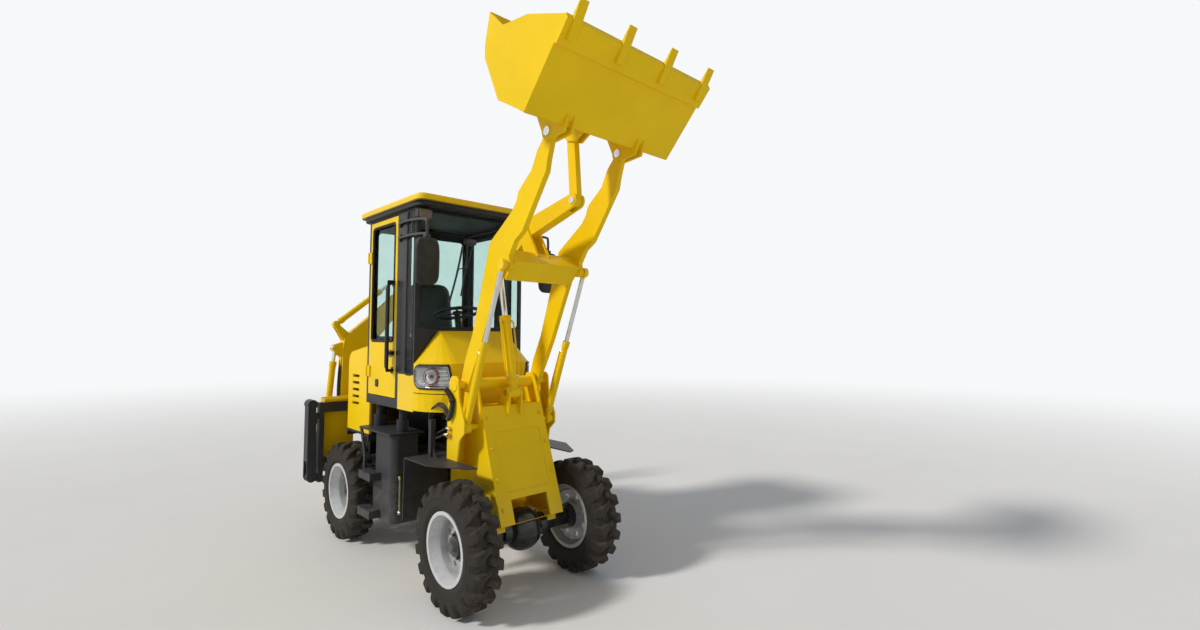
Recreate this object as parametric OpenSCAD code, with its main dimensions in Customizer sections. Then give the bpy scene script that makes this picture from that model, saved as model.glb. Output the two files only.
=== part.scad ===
// Compact articulated backhoe loader, loader raised and backhoe slewed across the rear.
// Working frame: +X forward, +Y left, +Z up, with the front axle above the origin.
// place() then moves the whole machine so that its footprint is centred on the origin.

/* [Wheels] */
// Outside diameter of a tyre over its lugs
tyre_d = 810; // [780:5:830]
// Width of a tyre
tyre_w = 208; // [180:2:208]
// Height of a lug above the casing
lug_h = 26; // [14:1:34]
// Lugs in one of the two rows of a tyre
lug_n = 16; // [12:1:22]
// Diameter of the rim where the tyre seats
rim_d = 430; // [380:5:460]
// Depth of the rim dish from its outer edge to the wheel disc
rim_dish = 118; // [60:2:140]
// Distance between the middles of the two tyres of an axle
track = 1000; // [1000:10:1080]
// Distance between the front and the rear axle
wheelbase = 1850; // [1840:10:1960]
// Diameter of an axle tube
axle_d = 110; // [80:5:130]
// Diameter of the differential housing
diff_d = 290; // [220:5:310]

/* [Front frame] */
// Half the distance between the outer faces of the two tower plates
tower_half = 262; // [240:1:264]
// Thickness of a tower plate
tower_t = 14; // [8:1:18]
// Thickness of the inclined front plate
front_plate_t = 18; // [10:1:24]
// Thickness of the narrow outer bearing plate
outer_plate_t = 12; // [8:1:12]
// Diameter of the vertical steering pins
steer_pin_d = 60; // [40:2:80]

/* [Rear frame] */
// Height of a frame rail
rail_h = 160; // [100:5:170]
// Width of a frame rail
rail_w = 60; // [40:2:70]
// Distance of a rail's outer face from the middle
rail_half = 250; // [220:5:260]
// Thickness of the platforms beside the frame
platform_t = 15; // [8:1:25]
// Width of a side tank
tank_w = 200; // [140:5:210]
// Length of a side tank
tank_len = 320; // [240:10:340]
// Height of a side tank
tank_h = 670; // [500:10:690]

/* [Cab] */
// Length of the cab from its rear wall to the windscreen
cab_len = 867; // [840:1:900]
// Half the width of the cab
cab_half = 480; // [460:5:490]
// Height of the cab without the roof
cab_h = 1560; // [1500:5:1620]
// Thickness of the cab walls
cab_wall = 40; // [30:1:50]
// Thickness of a pane
glass_t = 6; // [4:1:10]
// Width of a cab door
door_w = 530; // [500:2:540]
// Width of the yellow frame round the door glass
door_frame = 48; // [30:1:60]
// Overhang of the roof over the windscreen
roof_front = 130; // [60:5:135]
// Overhang of the roof over the rear wall
roof_rear = 138; // [60:5:180]
// Thickness of the roof
roof_t = 52; // [30:1:70]
// Length of the nose in front of the windscreen
nose_len = 292; // [220:1:295]

/* [Loader] */
// Thickness of a loader arm plate
arm_t = 36; // [20:1:38]
// Diameter of a lift cylinder barrel
lift_barrel_d = 56; // [44:1:56]
// Diameter of a lift cylinder rod
lift_rod_d = 32; // [20:1:36]
// Diameter of the tilt cylinder barrel
tilt_barrel_d = 86; // [60:1:96]
// Diameter of the tilt cylinder rod
tilt_rod_d = 42; // [28:1:50]
// Thickness of the bell crank
crank_t = 74; // [60:1:80]
// Width of the loader bucket
bucket_w = 1204; // [1000:4:1240]
// Thickness of the bucket's plates
bucket_t = 12; // [8:1:20]
// Number of teeth on the cutting edge
tooth_n = 4; // [2:1:7]
// Length of a tooth beyond the edge
tooth_len = 95; // [50:1:110]

/* [Backhoe] */
// Sideways place of the carriage, negative to the right
carriage_y = -430; // [-430:5:-300]
// Width of the boom
boom_w = 120; // [110:2:140]
// Width of the dipper
dipper_w = 80; // [60:2:84]
// Width of the digging bucket
dig_w = 296; // [200:4:300]
// Diameter of the backhoe cylinder barrels
hoe_barrel_d = 66; // [50:1:70]
// Diameter of the backhoe cylinder rods
hoe_rod_d = 36; // [24:1:40]
// Length of a stabiliser leg
leg_len = 720; // [600:5:760]

/* [Hidden] */

$fn = 48;
gap = 0.3;
run_fit = 0.06;
slide_gap = 0.5;
yellow = [0.96, 0.77, 0.03];
dark = [0.16, 0.16, 0.17];
black = [0.07, 0.07, 0.07];
silver = [0.8, 0.81, 0.82];
chrome = [0.85, 0.86, 0.88];
pane = [0.55, 0.7, 0.68, 0.45];

// Wheels
wheel_z = tyre_d / 2;
wheel_y = track / 2;
rear_x = -wheelbase;

// Steering pivot and the rear frame
steer_x = -930;
yoke_x = steer_x - 370;
frame_end = rear_x - tyre_d / 2 - 25;
rail_z = wheel_z + axle_d / 2 + 20;
engine_z = wheel_z + diff_d / 2 + 10;
// Tie-down bores in side view [x, z]: tower plates in front, frame rails at the rear
tie_r = 20;
front_tie = [-478, 560];
rear_tie = [-2238, 605];
lug_t = 25;
upper_lug_z = 760;
lower_lug_z = 440;
lug_r = 75;

// Tower, its pins in side view [x, z]
arm_pin = [-260, 1400];
lift_pin = [-164, 1117];
tilt_base = [-120, 1340];
plate_top = [-127, 1252];
plate_low = [143, 497];
arm_y = tower_half + 18 + arm_t / 2;
lift_y = tower_half + 18 + arm_t + 6 + lift_barrel_d / 2;
outer_y = lift_y + lift_barrel_d / 2 + 3;
outer_low = 825;

// Loader pins in side view [x, z]
bucket_pin = [675, 2960];
crank_pin_at = [50, 2487];
crank_top = [556, 2615];
crank_low = [-304, 2223];
link_top = [520, 3055];
lift_eye = [249, 2202];
pin_r = 28;
link_pin_r = 22;
tilt_pin_r = 22;
lift_pin_r = 20;
link_w = 40;
lift_eye_w = 32;
tilt_eye_w = 46;
tilt_base_w = 88;

// Cab
cab_rear = -1567;
cab_front = cab_rear + cab_len;
cab_floor = 1180;
cab_top = cab_floor + cab_h;
door_rear = cab_rear + 27;
door_front = door_rear + door_w;
door_low = cab_floor + 72;
door_top = cab_top - 50;
sill = 1450;
post_w = 26;
quarter = [door_front + 160, cab_front - post_w];
screen_low = 1800;
platform_x = cab_rear - 4;
hood_top = 1660;
hood_low = 905;
hood_rear = -2062;

// Backhoe, in the plane of the boom [distance from the slew axis, z]
slide_x = frame_end;
slide_d = 80;
carriage_x = slide_x - slide_d - slide_gap;
carriage_t = 50;
carriage_half = 144;
slew_x = carriage_x - carriage_t - 160;
slew_r = 26;
slew_lug_r = 55;
slew_low = 590;
slew_high = 880;
slew_lug_t = 30;
boom_foot = [120, 720];
boom_bend = [160, 1570];
boom_base = [-32, 985];
boom_eye = [22, 1610];
dipper_pin = [745, 2210];
dipper_tail = dipper_pin + [-40, 190];
dipper_base = [30, 1850];
dig_pin = [685, 1150];
dig_base = [820, 2040];
rocker_pin = [705, 1400];
rocker_end = [835, 1290];
dig_eye = dig_pin + [106, -106];
hoe_pin_r = 25;

// Where the open eyes wander from their pins within their slots [x, z, slot radius]
eye_travel = [[0, 0, 92], [44, 50, 80]];
tail_travel = [[0, 0, 80], [8, -50, 72]];
ear_travel = [-16, 8];
link_pin_d = 24;
fork_w = dipper_w + 3;

// Stabilisers, seen from the rear [distance from the middle, z]
stay_half = 620;
leg_pin = [680, 450];
stay_base = [645, 1000];
stay_eye = [684, 600];
stay_base_w = 49;
stay_eye_w = 27;
stay_x = slide_x - slide_d / 2;

// Ends of the machine along X
bucket_edge = [1168, 3365];
bucket_heel = [810, 2960];
bucket_chamfer = [672, 3040];
bucket_back = [554, 3105];
tooth_tip_t = 6;
edge_dir = (bucket_edge - bucket_heel) / norm(bucket_edge - bucket_heel);
tip_x = bucket_edge[0] + tooth_len * edge_dir[0] + tooth_tip_t * edge_dir[1];
tail_x = slew_x - dig_w / 2;
mid_x = (tip_x + tail_x) / 2;

module place() {
    translate([-mid_x, 0, 0]) children();
}

// Extrudes a side-view outline [x, z] along Y, about the plane y.
module slab(outline, y, t) {
    translate([0, y, 0]) rotate([90, 0, 0])
        linear_extrude(t, center = true) polygon(outline);
}

// A round boss or pin along Y at the side-view point p.
module boss(p, r, y, t) {
    translate([p[0], y, p[1]]) rotate([90, 0, 0]) cylinder(r = r, h = t, center = true);
}

// A flat bar along Y-thickness t between two side-view points with round ends.
module bar(p, q, rp, rq, y, t) {
    u = (q - p) / norm(q - p);
    n = [-u[1], u[0]];
    slab([p + rp * n, p - rp * n, q - rq * n, q + rq * n], y, t);
    boss(p, rp, y, t);
    boss(q, rq, y, t);
}

// A round rod in the side plane y between two side-view points.
module rod(p, q, r, y) {
    len = norm(q - p);
    pitch = atan2(q[0] - p[0], q[1] - p[1]);
    translate([p[0], y, p[1]]) rotate([0, pitch, 0]) cylinder(r = r, h = len);
}

// A point a given distance from p towards q.
function along(p, q, d) = p + (q - p) * d / norm(q - p);

module mirrored() {
    children();
    mirror([0, 1, 0]) children();
}

// Barrel of a hydraulic cylinder from its base pin p towards q, len long.
module barrel(p, q, len, r, rod_r, y, eye_r, eye_w, pin_r) {
    difference() {
        union() {
            boss(p, eye_r, y, eye_w);
            rod(along(p, q, eye_r * 0.6), along(p, q, eye_r + 14), min(r - 8, eye_w / 2 - 1), y);
            rod(along(p, q, eye_r + 8), along(p, q, len - 20), r - 4, y);
            rod(along(p, q, eye_r + 14), along(p, q, eye_r + 44), r - 1, y);
            rod(along(p, q, len - 46), along(p, q, len), r, y);
        }
        rod(along(p, q, eye_r + 30), along(p, q, len + 1), rod_r + 4, y);
        boss(p, pin_r + run_fit, y, eye_w + 2);
    }
}

// Rod of a hydraulic cylinder, from inside the barrel to the eye at q.
module piston_rod(p, q, start, r, y, eye_r, eye_w) {
    rod(along(p, q, start), along(p, q, norm(q - p) - eye_r * 0.5), r, y);
    rod(along(p, q, start), along(p, q, start + 24), r + 3.4, y);
    boss(q, eye_r, y, eye_w);
}

// Two lug plates side by side, each t thick, with a space between them.
module lugs(outline, space, t) {
    for (s = [-1, 1]) slab(outline, s * (space + t) / 2, t);
}

// Wheels
module tyre(x, y) {
    casing_r = tyre_d / 2 - lug_h;
    half = tyre_w / 2;
    bead_r = rim_d / 2 + gap;
    bead_y = half - 26;
    flange_r = bead_r + 16;
    step = 360 / lug_n;
    lug_turn = 3;
    // Each lug is three short blocks: [inner edge, outer edge, start, end, root radius]
    blocks = [
        [-10, 34, 0.40, 0.78, casing_r - 10],
        [30, 72, 0.22, 0.62, casing_r - 10],
        [68, half - 4, 0.05, 0.50, casing_r - 52]
    ];
    color(black) translate([x, y, wheel_z]) rotate([90, 0, 0]) {
        rotate_extrude($fn = 72) polygon([
            [bead_r, gap - bead_y], [flange_r, gap - bead_y - 4], [flange_r, 8 - half], [bead_r + 62, -half],
            [casing_r - 46, -half + 6], [casing_r - 6, -half + 28], [casing_r, -half + 52],
            [casing_r, half - 52], [casing_r - 6, half - 28], [casing_r - 46, half - 6],
            [bead_r + 62, half], [flange_r, half - 8], [flange_r, bead_y + 4 - gap], [bead_r, bead_y - gap]
        ]);
        for (i = [0 : lug_n - 1]) for (side = [-1, 1]) for (b = blocks)
            rotate([0, 0, i * step + lug_turn + (side > 0 ? step / 2 : 0) + b[2] * step])
                rotate_extrude(angle = (b[3] - b[2]) * step, $fn = 72) polygon([
                    [b[4], side * b[0]], [tyre_d / 2, side * b[0]],
                    [tyre_d / 2, side * (b[1] - 8)], [b[4], side * b[1]]
                ]);
    }
}

module rim(x, y, side) {
    seat_r = rim_d / 2;
    half = tyre_w / 2 - 26;
    flange_r = seat_r + 16;
    disc_y = half - rim_dish;
    hub_r = 88;
    color(silver) translate([x, y, wheel_z]) rotate([side * 90, 0, 0]) {
        difference() {
            rotate_extrude($fn = 72) polygon([
                [seat_r - 8, -half - 14], [flange_r, -half - 14], [flange_r, -half - 4],
                [seat_r, -half + gap], [seat_r, -40], [seat_r - 22, -24], [seat_r - 22, 24], [seat_r, 40],
                [seat_r, half - gap], [flange_r, half + 4], [flange_r, half + 14],
                [seat_r - 8, half + 14], [seat_r - 34, 20], [seat_r - 34, disc_y + 12],
                [hub_r + 12, disc_y + 26], [hub_r + 12, disc_y + 10], [seat_r - 34, disc_y - 6],
                [seat_r - 34, -30]
            ]);
            for (i = [0 : 7]) rotate([0, 0, i * 45 + 22]) translate([140, 0, disc_y - 30])
                cylinder(r = 20, h = 90);
        }
        translate([0, 0, disc_y - 30]) cylinder(r = hub_r + 14, h = 56);
        translate([0, 0, disc_y + 26]) cylinder(r = 62, h = 40);
        translate([0, 0, disc_y + 66]) cylinder(r1 = 46, r2 = 34, h = 24);
        for (i = [0 : 7]) rotate([0, 0, i * 45]) translate([78, 0, disc_y + 26])
            cylinder(r = 11, h = 18);
    }
}

module axle(x) {
    hub_y = wheel_y - (rim_dish - tyre_w / 2 + 26) - 30 - gap;
    color(black) translate([x, 0, wheel_z]) {
        rotate([90, 0, 0]) {
            cylinder(r = axle_d / 2, h = 2 * (hub_y - 60), center = true);
            for (side = [-1, 1]) translate([0, 0, side * (hub_y - 30)])
                cylinder(r = axle_d / 2 + 32, h = 60, center = true);
            for (side = [-1, 1]) translate([0, 0, side * 130])
                cylinder(r = axle_d / 2 + 22, h = 90, center = true);
        }
        sphere(d = diff_d);
        rotate([0, 90, 0]) translate([0, 0, -diff_d / 2 - 60]) cylinder(r = 50, h = diff_d / 2);
    }
}

// Front frame with the loader tower
module axle_pads(x, top) {
    difference() {
        for (side = [-1, 1]) translate([x - 70, side * 215 - 35, wheel_z + 30])
            cube([140, 70, top - wheel_z - 30]);
        boss([x, wheel_z], axle_d / 2 + gap, 0, 2 * rail_half + 20);
    }
}

module steer_lug(z, from_x) {
    difference() {
        union() {
            translate([steer_x, 0, z]) cylinder(r = lug_r, h = lug_t);
            translate([0, 0, z]) linear_extrude(lug_t) polygon([
                [steer_x, -lug_r], [from_x, -tower_half + tower_t],
                [from_x, tower_half - tower_t], [steer_x, lug_r]
            ]);
        }
        translate([steer_x, 0, z - 1]) cylinder(r = steer_pin_d / 2 + run_fit, h = lug_t + 2);
    }
}

module front_frame() {
    tower_low = wheel_z + axle_d / 2 + 15;
    side = [
        [plate_low[0] - 20, plate_low[1]], plate_top, tilt_base + [-40, 20],
        arm_pin + [45, 62], arm_pin + [-42, 62], arm_pin + [-72, 0], [-370, 1180],
        [-470, 860], [-520, 800], [-520, tower_low], [plate_low[0] - 60, tower_low]
    ];
    outer = [
        [-345, outer_low], [-215, outer_low], [-180, 1030], lift_pin + [48, -30],
        lift_pin + [48, 40], arm_pin + [68, -90], arm_pin + [55, 40], arm_pin + [28, 64],
        arm_pin + [-28, 64], arm_pin + [-62, 35], [-345, 1180]
    ];
    n = (plate_top - plate_low) / norm(plate_top - plate_low);
    m = [n[1], -n[0]];
    back = -front_plate_t;
    deck_rear = -310;
    color(yellow) {
        difference() {
            slab([plate_low, plate_top, plate_top + back * m, plate_low + back * m],
                0, 2 * tower_half);
            // Opening over the differential
            translate([0, 0, plate_low[1] - 1]) linear_extrude(150) polygon([
                [-100, -150], [300, -150], [300, 150], [-100, 150]]);
            // Shallow panel pressed into the plate
            slab([along(plate_low, plate_top, 210) - 4 * m, along(plate_low, plate_top, 620) - 4 * m,
                along(plate_low, plate_top, 620) + 9 * m, along(plate_low, plate_top, 210) + 9 * m],
                0, 2 * tower_half - 140);
        }
        mirrored() difference() {
            slab(side, tower_half - tower_t / 2, tower_t);
            boss(front_tie, tie_r, tower_half, 3 * tower_t);
        }
        mirrored() slab(outer, outer_y + outer_plate_t / 2, outer_plate_t);
        // Shelf and back plate that carry the outer plate
        mirrored() {
            translate([-345, tower_half - 1, outer_low])
                cube([130, outer_y - tower_half + 2, 12]);
            translate([-345, tower_half - 1, outer_low])
                cube([10, outer_y - tower_half + 2, 330]);
        }
        // Deck behind the front plate, cross tube and pins
        translate([deck_rear, -tower_half + tower_t, plate_top[1] - 20])
            cube([plate_top[0] - 6 - deck_rear, 2 * (tower_half - tower_t), 14]);
        boss(arm_pin, 42, 0, 2 * (tower_half - tower_t) + 2);
        mirrored() boss(arm_pin, pin_r, (tower_half + outer_y) / 2, outer_y - tower_half + 2);
        mirrored() boss(lift_pin, 20, (tower_half + outer_y) / 2, outer_y - tower_half + 2);
        mirrored() boss(arm_pin, 42, outer_y + outer_plate_t + 1, 6);
        // Twin lug of the tilt cylinder
        difference() {
            lugs([
                plate_top + [40, -70], tilt_base + [42, 0], tilt_base + [20, 38],
                tilt_base + [-24, 36], tilt_base + [-42, 0], [-230, plate_top[1] - 8]
            ], tilt_base_w + 2 * slide_gap, 16);
            boss(tilt_base, tilt_pin_r + run_fit, 0, tilt_base_w + 60);
        }
        // Floor, rear cross plate and the steering lugs
        difference() {
            translate([-520, -tower_half + tower_t, tower_low]) cube([520, 2 * (tower_half - tower_t), 14]);
            translate([-170, -185, tower_low - 1]) cube([171, 370, 16]);
        }
        translate([-520, -tower_half + tower_t, lower_lug_z])
            cube([16, 2 * (tower_half - tower_t), 400]);
        steer_lug(upper_lug_z, -510);
        steer_lug(lower_lug_z, -510);
        axle_pads(0, tower_low + 2);
    }
}

module front_mudguards() {
    y0 = outer_y + outer_plate_t;
    y1 = wheel_y + 100;
    z = 880;
    color(dark) mirrored() {
        translate([0, 0, z]) linear_extrude(8) polygon([
            [-350, y0 + gap], [60, y0 + gap], [30, y0 + 60], [-230, y1], [-570, y1], [-570, tower_half + gap],
            [-486, tower_half + gap], [-350, tower_half + 120]]);
        // Slanted plate behind the wheel
        slab([[-570, z + 1], [-562, z + 1], [-572, 460], [-580, 460]], (tower_half + gap + y1) / 2,
            y1 - tower_half - gap);
        // Post with its foot gusset
        translate([-500, y0 + 25, z]) cube([36, 36, 265]);
        slab([[-464, z + 8], [-400, z + 8], [-464, z + 70]], y0 + 43, 8);
    }
}

// Rear frame
module rear_frame() {
    rail_len = yoke_x - frame_end;
    color(dark) {
        mirrored() difference() {
            translate([frame_end, rail_half - rail_w, rail_z]) cube([rail_len, rail_w, rail_h]);
            boss(rear_tie, tie_r, rail_half - rail_w / 2, rail_w + 2);
        }
        // Bulkhead at the front of the rails
        translate([yoke_x - 10, -rail_half, lower_lug_z - lug_t - 2])
            cube([20, 2 * rail_half, upper_lug_z - lower_lug_z + 3 * lug_t + 4]);
        // Yoke plates with the steering pins
        for (z = [upper_lug_z + lug_t + slide_gap, lower_lug_z - lug_t - slide_gap]) {
            translate([steer_x, 0, z]) cylinder(r = lug_r, h = lug_t);
            translate([0, 0, z]) linear_extrude(lug_t) polygon([
                [steer_x, -lug_r], [yoke_x, -rail_half + 10], [yoke_x, rail_half - 10], [steer_x, lug_r]]);
        }
        translate([steer_x, 0, upper_lug_z - 12]) cylinder(r = steer_pin_d / 2, h = lug_t + 30);
        translate([steer_x, 0, lower_lug_z - lug_t]) cylinder(r = steer_pin_d / 2, h = 2 * lug_t + 12);
        // Cross plates under the engine
        for (x = [-1560, -2040]) translate([x, -rail_half + rail_w - 1, engine_z - 20])
            cube([90, 2 * (rail_half - rail_w) + 2, 20]);
        axle_pads(rear_x, rail_z + 2);
        // Platforms with their brackets
        mirrored() {
            translate([platform_x, rail_half - 1, 985 - platform_t]) cube([-975 - platform_x, 531 - rail_half, platform_t]);
            translate([yoke_x - 10, rail_half - 20, rail_z + rail_h - 2]) cube([20, 20, 330]);
            slab([[platform_x, 972], [platform_x + 40, 972], [-1450, 760], [-1490, 760]], 520, 12);
            translate([-1490, rail_half - 1, rail_z + rail_h - 40]) cube([20, 276, 40]);
            slab([[-1490, rail_z + rail_h - 40], [-1450, rail_z + rail_h - 40], [-1450, 770], [-1490, 770]], 520, 12);
            translate([platform_x, rail_half - 20, rail_z + rail_h - 2]) cube([20, 20, 330]);
        }
        // Ledges that carry the rear hood
        mirrored() {
            translate([hood_rear, 410, hood_low - 20]) cube([platform_x - 1 - hood_rear, 44, 20]);
            for (x = [platform_x - 21, hood_rear + 2]) {
                translate([x, rail_half - rail_w, rail_z + rail_h - 1]) cube([20, rail_w, hood_low - 19 - rail_z - rail_h]);
                translate([x, rail_half - 1, hood_low - 60]) cube([20, 205, 42]);
            }
        }
        // Rubber mounts under the cab corners
        mirrored() for (x = [-1060, -1500]) translate([x, 390, 984]) {
            cylinder(r = 45, h = 96);
            translate([0, 0, 95]) cylinder(r = 28, h = cab_floor - 984 - 95);
        }
        // Uprights that tie the rails to the backhoe frame
        mirrored() translate([frame_end, rail_half - rail_w, rail_z + rail_h - 1])
            cube([120, 20, 1120 - rail_z - rail_h]);
    }
}

module engine_block() {
    color(dark) translate([-2040, -rail_half + rail_w + 12, engine_z])
        cube([560, 2 * (rail_half - rail_w - 12), 560]);
}

module side_tanks() {
    r = 60;
    x1 = -972;
    y1 = 300 + tank_w;
    z0 = 985 - platform_t - tank_h;
    color(dark) mirrored() {
        translate([x1 - r, y1 - r, z0]) cylinder(r = r, h = tank_h);
        translate([x1 - tank_len, 300, z0]) cube([tank_len - r, tank_w, tank_h]);
        translate([x1 - r - 1, 300, z0]) cube([r + 1, tank_w - r, tank_h]);
        // Two channel steps on the outer side
        for (z = [600, 310]) difference() {
            translate([-1420, y1 - 1, z]) cube([230, 89, 60]);
            translate([-1408, y1 + 12, z - 1]) cube([206, 64, 49]);
        }
        // Bar that carries the rear ends of the steps
        translate([x1 - tank_len - 1 - 40, y1 - 40, 330]) cube([41, 40, 300]);
    }
}

// Cab
module cab_shell() {
    w = 2 * cab_half;
    in_low = cab_floor + 30;
    color(dark) difference() {
        translate([cab_rear, -cab_half, cab_floor]) cube([cab_len, w, cab_h]);
        translate([cab_rear + cab_wall, -cab_half + cab_wall, in_low])
            cube([cab_len - 2 * cab_wall, w - 2 * cab_wall, cab_h - 30 - 25]);
        // Door openings, quarter windows, windscreen and rear window
        translate([door_rear, -cab_half - 1, door_low]) cube([door_w, w + 2, door_top - door_low]);
        translate([quarter[0], -cab_half - 1, sill]) cube([quarter[1] - quarter[0], w + 2, door_top - sill]);
        translate([cab_front - cab_wall - 1, -cab_half + post_w, screen_low])
            cube([cab_wall + 2, w - 2 * post_w, door_top - screen_low]);
        translate([cab_rear - 1, -cab_half + 60, hood_top + 60])
            cube([cab_wall + 2, w - 120, door_top - hood_top - 110]);
    }
}

module cab_roof() {
    r = 60;
    x0 = cab_rear - roof_rear + r;
    x1 = cab_front + roof_front - r;
    y = cab_half + 42 - r;
    color(yellow) hull() for (x = [x0, x1]) for (s = [-1, 1]) translate([x, s * y, cab_top]) {
        cylinder(r = r - 8, h = roof_t, $fn = 32);
        translate([0, 0, 8]) cylinder(r = r, h = roof_t - 24, $fn = 32);
    }
}

module cab_glass() {
    w = 2 * cab_half;
    color(pane) {
        translate([cab_front - glass_t - 2, -cab_half + post_w, screen_low])
            cube([glass_t, w - 2 * post_w, door_top - screen_low]);
        translate([cab_rear + cab_wall / 2, -cab_half + 60, hood_top + 60])
            cube([glass_t, w - 120, door_top - hood_top - 110]);
        mirrored() translate([quarter[0], cab_half - glass_t - 2, sill])
            cube([quarter[1] - quarter[0], glass_t, door_top - sill]);
    }
}

nose_low = cab_floor + 12;
nose_brow = 1540;
nose_top = 1778;
nose_roof = [40, 290];
lamp_low = 1352;
lamp_high = 1533;
lamp_deep = 90;
lamp_proud = 9;
lamp_turn = 37.6;
lamp_start = [20, 489];

// Plan of the nose's corner: [x forward of the windscreen, half width]
nose_plan = [[0, 480], [70, 476], [130, 456], [190, 422], [nose_len - 47, 376], [nose_len - 12, 325],
    [nose_len, nose_roof[1]]];

function grown(out) = [for (p = nose_plan) p + out * p / norm(p)];

function turned_round(points) = [for (i = [1 : len(points)]) points[len(points) - i]];

module nose_section(shrink) {
    near = [for (p = grown(-shrink)) [cab_front + max(0, p[0]), -p[1]]];
    far = [for (p = turned_round(near)) [p[0], -p[1]]];
    polygon(concat(near, far));
}

// Side view of a headlamp, u along the turned corner: round at the cab's end, slanted at the other
module lamp_side(edge) {
    r_low = 75;
    r_high = 60;
    u_low = 330;
    u_high = 292;
    translate([r_low, lamp_low + r_low]) circle(r = r_low - edge);
    translate([r_high, lamp_high - r_high]) circle(r = r_high - edge);
    polygon([[r_low, lamp_low + edge], [u_low - edge, lamp_low + edge], [u_high - edge, lamp_high - edge],
        [r_high, lamp_high - edge], [edge, lamp_high - r_high], [edge, lamp_low + r_low]]);
}

// The part of a right headlamp between two depths from the nose's corner
module lamp_part(edge, out, deep) {
    outside = grown(out);
    inside = turned_round(grown(-deep));
    intersection() {
        translate([0, 0, lamp_low - 10]) linear_extrude(lamp_high - lamp_low + 20)
            polygon([for (p = concat(outside, inside)) [cab_front + p[0], -p[1]]]);
        translate([cab_front + lamp_start[0], -lamp_start[1], 0]) rotate([90, 0, lamp_turn])
            translate([0, 0, -300]) linear_extrude(600) lamp_side(edge);
    }
}

module nose() {
    x = cab_front;
    color(yellow) difference() {
        union() {
            translate([0, 0, nose_low]) linear_extrude(nose_brow - nose_low) nose_section(0);
            hull() {
                translate([0, 0, nose_brow - 1]) linear_extrude(1) nose_section(6);
                translate([x, -nose_roof[1], nose_top - 1]) cube([nose_roof[0], 2 * nose_roof[1], 1]);
            }
        }
        mirrored() mirror([0, 1, 0]) lamp_part(-1, lamp_proud + 3, lamp_deep);
    }
}

module headlamps() {
    color(black) mirrored() mirror([0, 1, 0]) difference() {
        lamp_part(0, lamp_proud, lamp_deep);
        difference() {
            lamp_part(14, lamp_proud + 1, 2 - lamp_proud);
            lamp_part(22, lamp_proud - 2, lamp_deep);
        }
    }
}

mirror_arm = 560;
mirror_turn = 5;
mirror_head = [46, 178, 330];
lamp_y = 440;
work_lamp_r = 46;

module mirrors() {
    // Two bracket tubes run from the door post forward to a bent end, and the head hangs there
    root = [door_front + 40, cab_half + 11];
    end = root + mirror_arm * [cos(mirror_turn), sin(mirror_turn)];
    u = mirror_head[1] / 2;
    v = mirror_head[2] / 2;
    cut = 30;
    color(black) mirrored() {
        for (z = [2500, 2612]) translate([root[0], root[1], z]) rotate([0, 90, mirror_turn])
            cylinder(r = 9, h = mirror_arm);
        translate([end[0], end[1], 2420]) cylinder(r = 12, h = 210);
        translate([root[0] - 16, cab_half, 2480]) cube([32, 22, 152]);
        // Head with cut corners, its flat glass towards the driver
        translate([end[0] - mirror_head[0] / 2, end[1], 2440 - v]) rotate([90, 0, 90])
            linear_extrude(mirror_head[0]) polygon([[cut - u, -v], [u - cut, -v], [u, cut - v], [u, v - cut],
                [u - cut, v], [cut - u, v], [-u, v - cut], [-u, cut - v]]);
        // Work lamp on a foot under the roof's front corner
        translate([cab_front + 24, lamp_y, cab_top - 44]) cylinder(r = 12, h = 44);
        translate([cab_front, lamp_y, cab_top - 86]) rotate([0, 90, 0]) cylinder(r = work_lamp_r, h = 48);
    }
}

module rear_hood() {
    x0 = cab_rear - 5;
    x1 = hood_rear;
    r = 110;
    t = 20;
    color(yellow) difference() {
        union() {
            slab([[x0, hood_low], [x0, hood_top], [x1 + r, hood_top - 60], [x1, hood_top - 60 - r],
                [x1, hood_low]], 0, 900);
            boss([x1 + r, hood_top - 60 - r], r, 0, 900);
        }
        slab([[x0 + 1, hood_low - 1], [x0 + 1, hood_top - t], [x1 + r, hood_top - 60 - t],
            [x1 + t, hood_top - 60 - r], [x1 + t, hood_low - 1]], 0, 900 - 2 * t);
        for (i = [0 : 4]) translate([-1960, -500, 1130 + i * 60]) cube([150, 1000, 24]);
    }
}

module seat() {
    color(black) {
        translate([-1400, -150, cab_floor + 30]) cube([320, 300, 330]);
        translate([-1430, -235, cab_floor + 360]) cube([470, 470, 120]);
        slab([[-1430, 1660], [-1310, 1660], [-1390, 2240], [-1460, 2240]], 0, 440);
    }
}

module steering_wheel() {
    c = [-930, 1930];
    foot = [-770, 1219];
    u = (c - foot) / norm(c - foot);
    tilt = atan2(u[0], u[1]);
    color(black) {
        rod(foot, c, 26, 0);
        translate([c[0], 0, c[1]]) rotate([0, tilt, 0]) {
            rotate_extrude($fn = 48) translate([175, 0]) circle(r = 14, $fn = 16);
            cylinder(r = 38, h = 22, center = true);
            for (a = [90, 210, 330]) rotate([0, 0, a]) translate([0, -9, -6]) cube([176, 18, 12]);
        }
        translate([-800, -160, cab_floor + 30]) cube([60, 320, 560]);
    }
}

// Doors: the hinge line lies just outside the wall at the door's rear edge
hinge_y = cab_half + 14;
handle_r = 11;
handle_out = 52;
handle_back = 34;
handle_low = 1470;
handle_len = 694;

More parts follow.
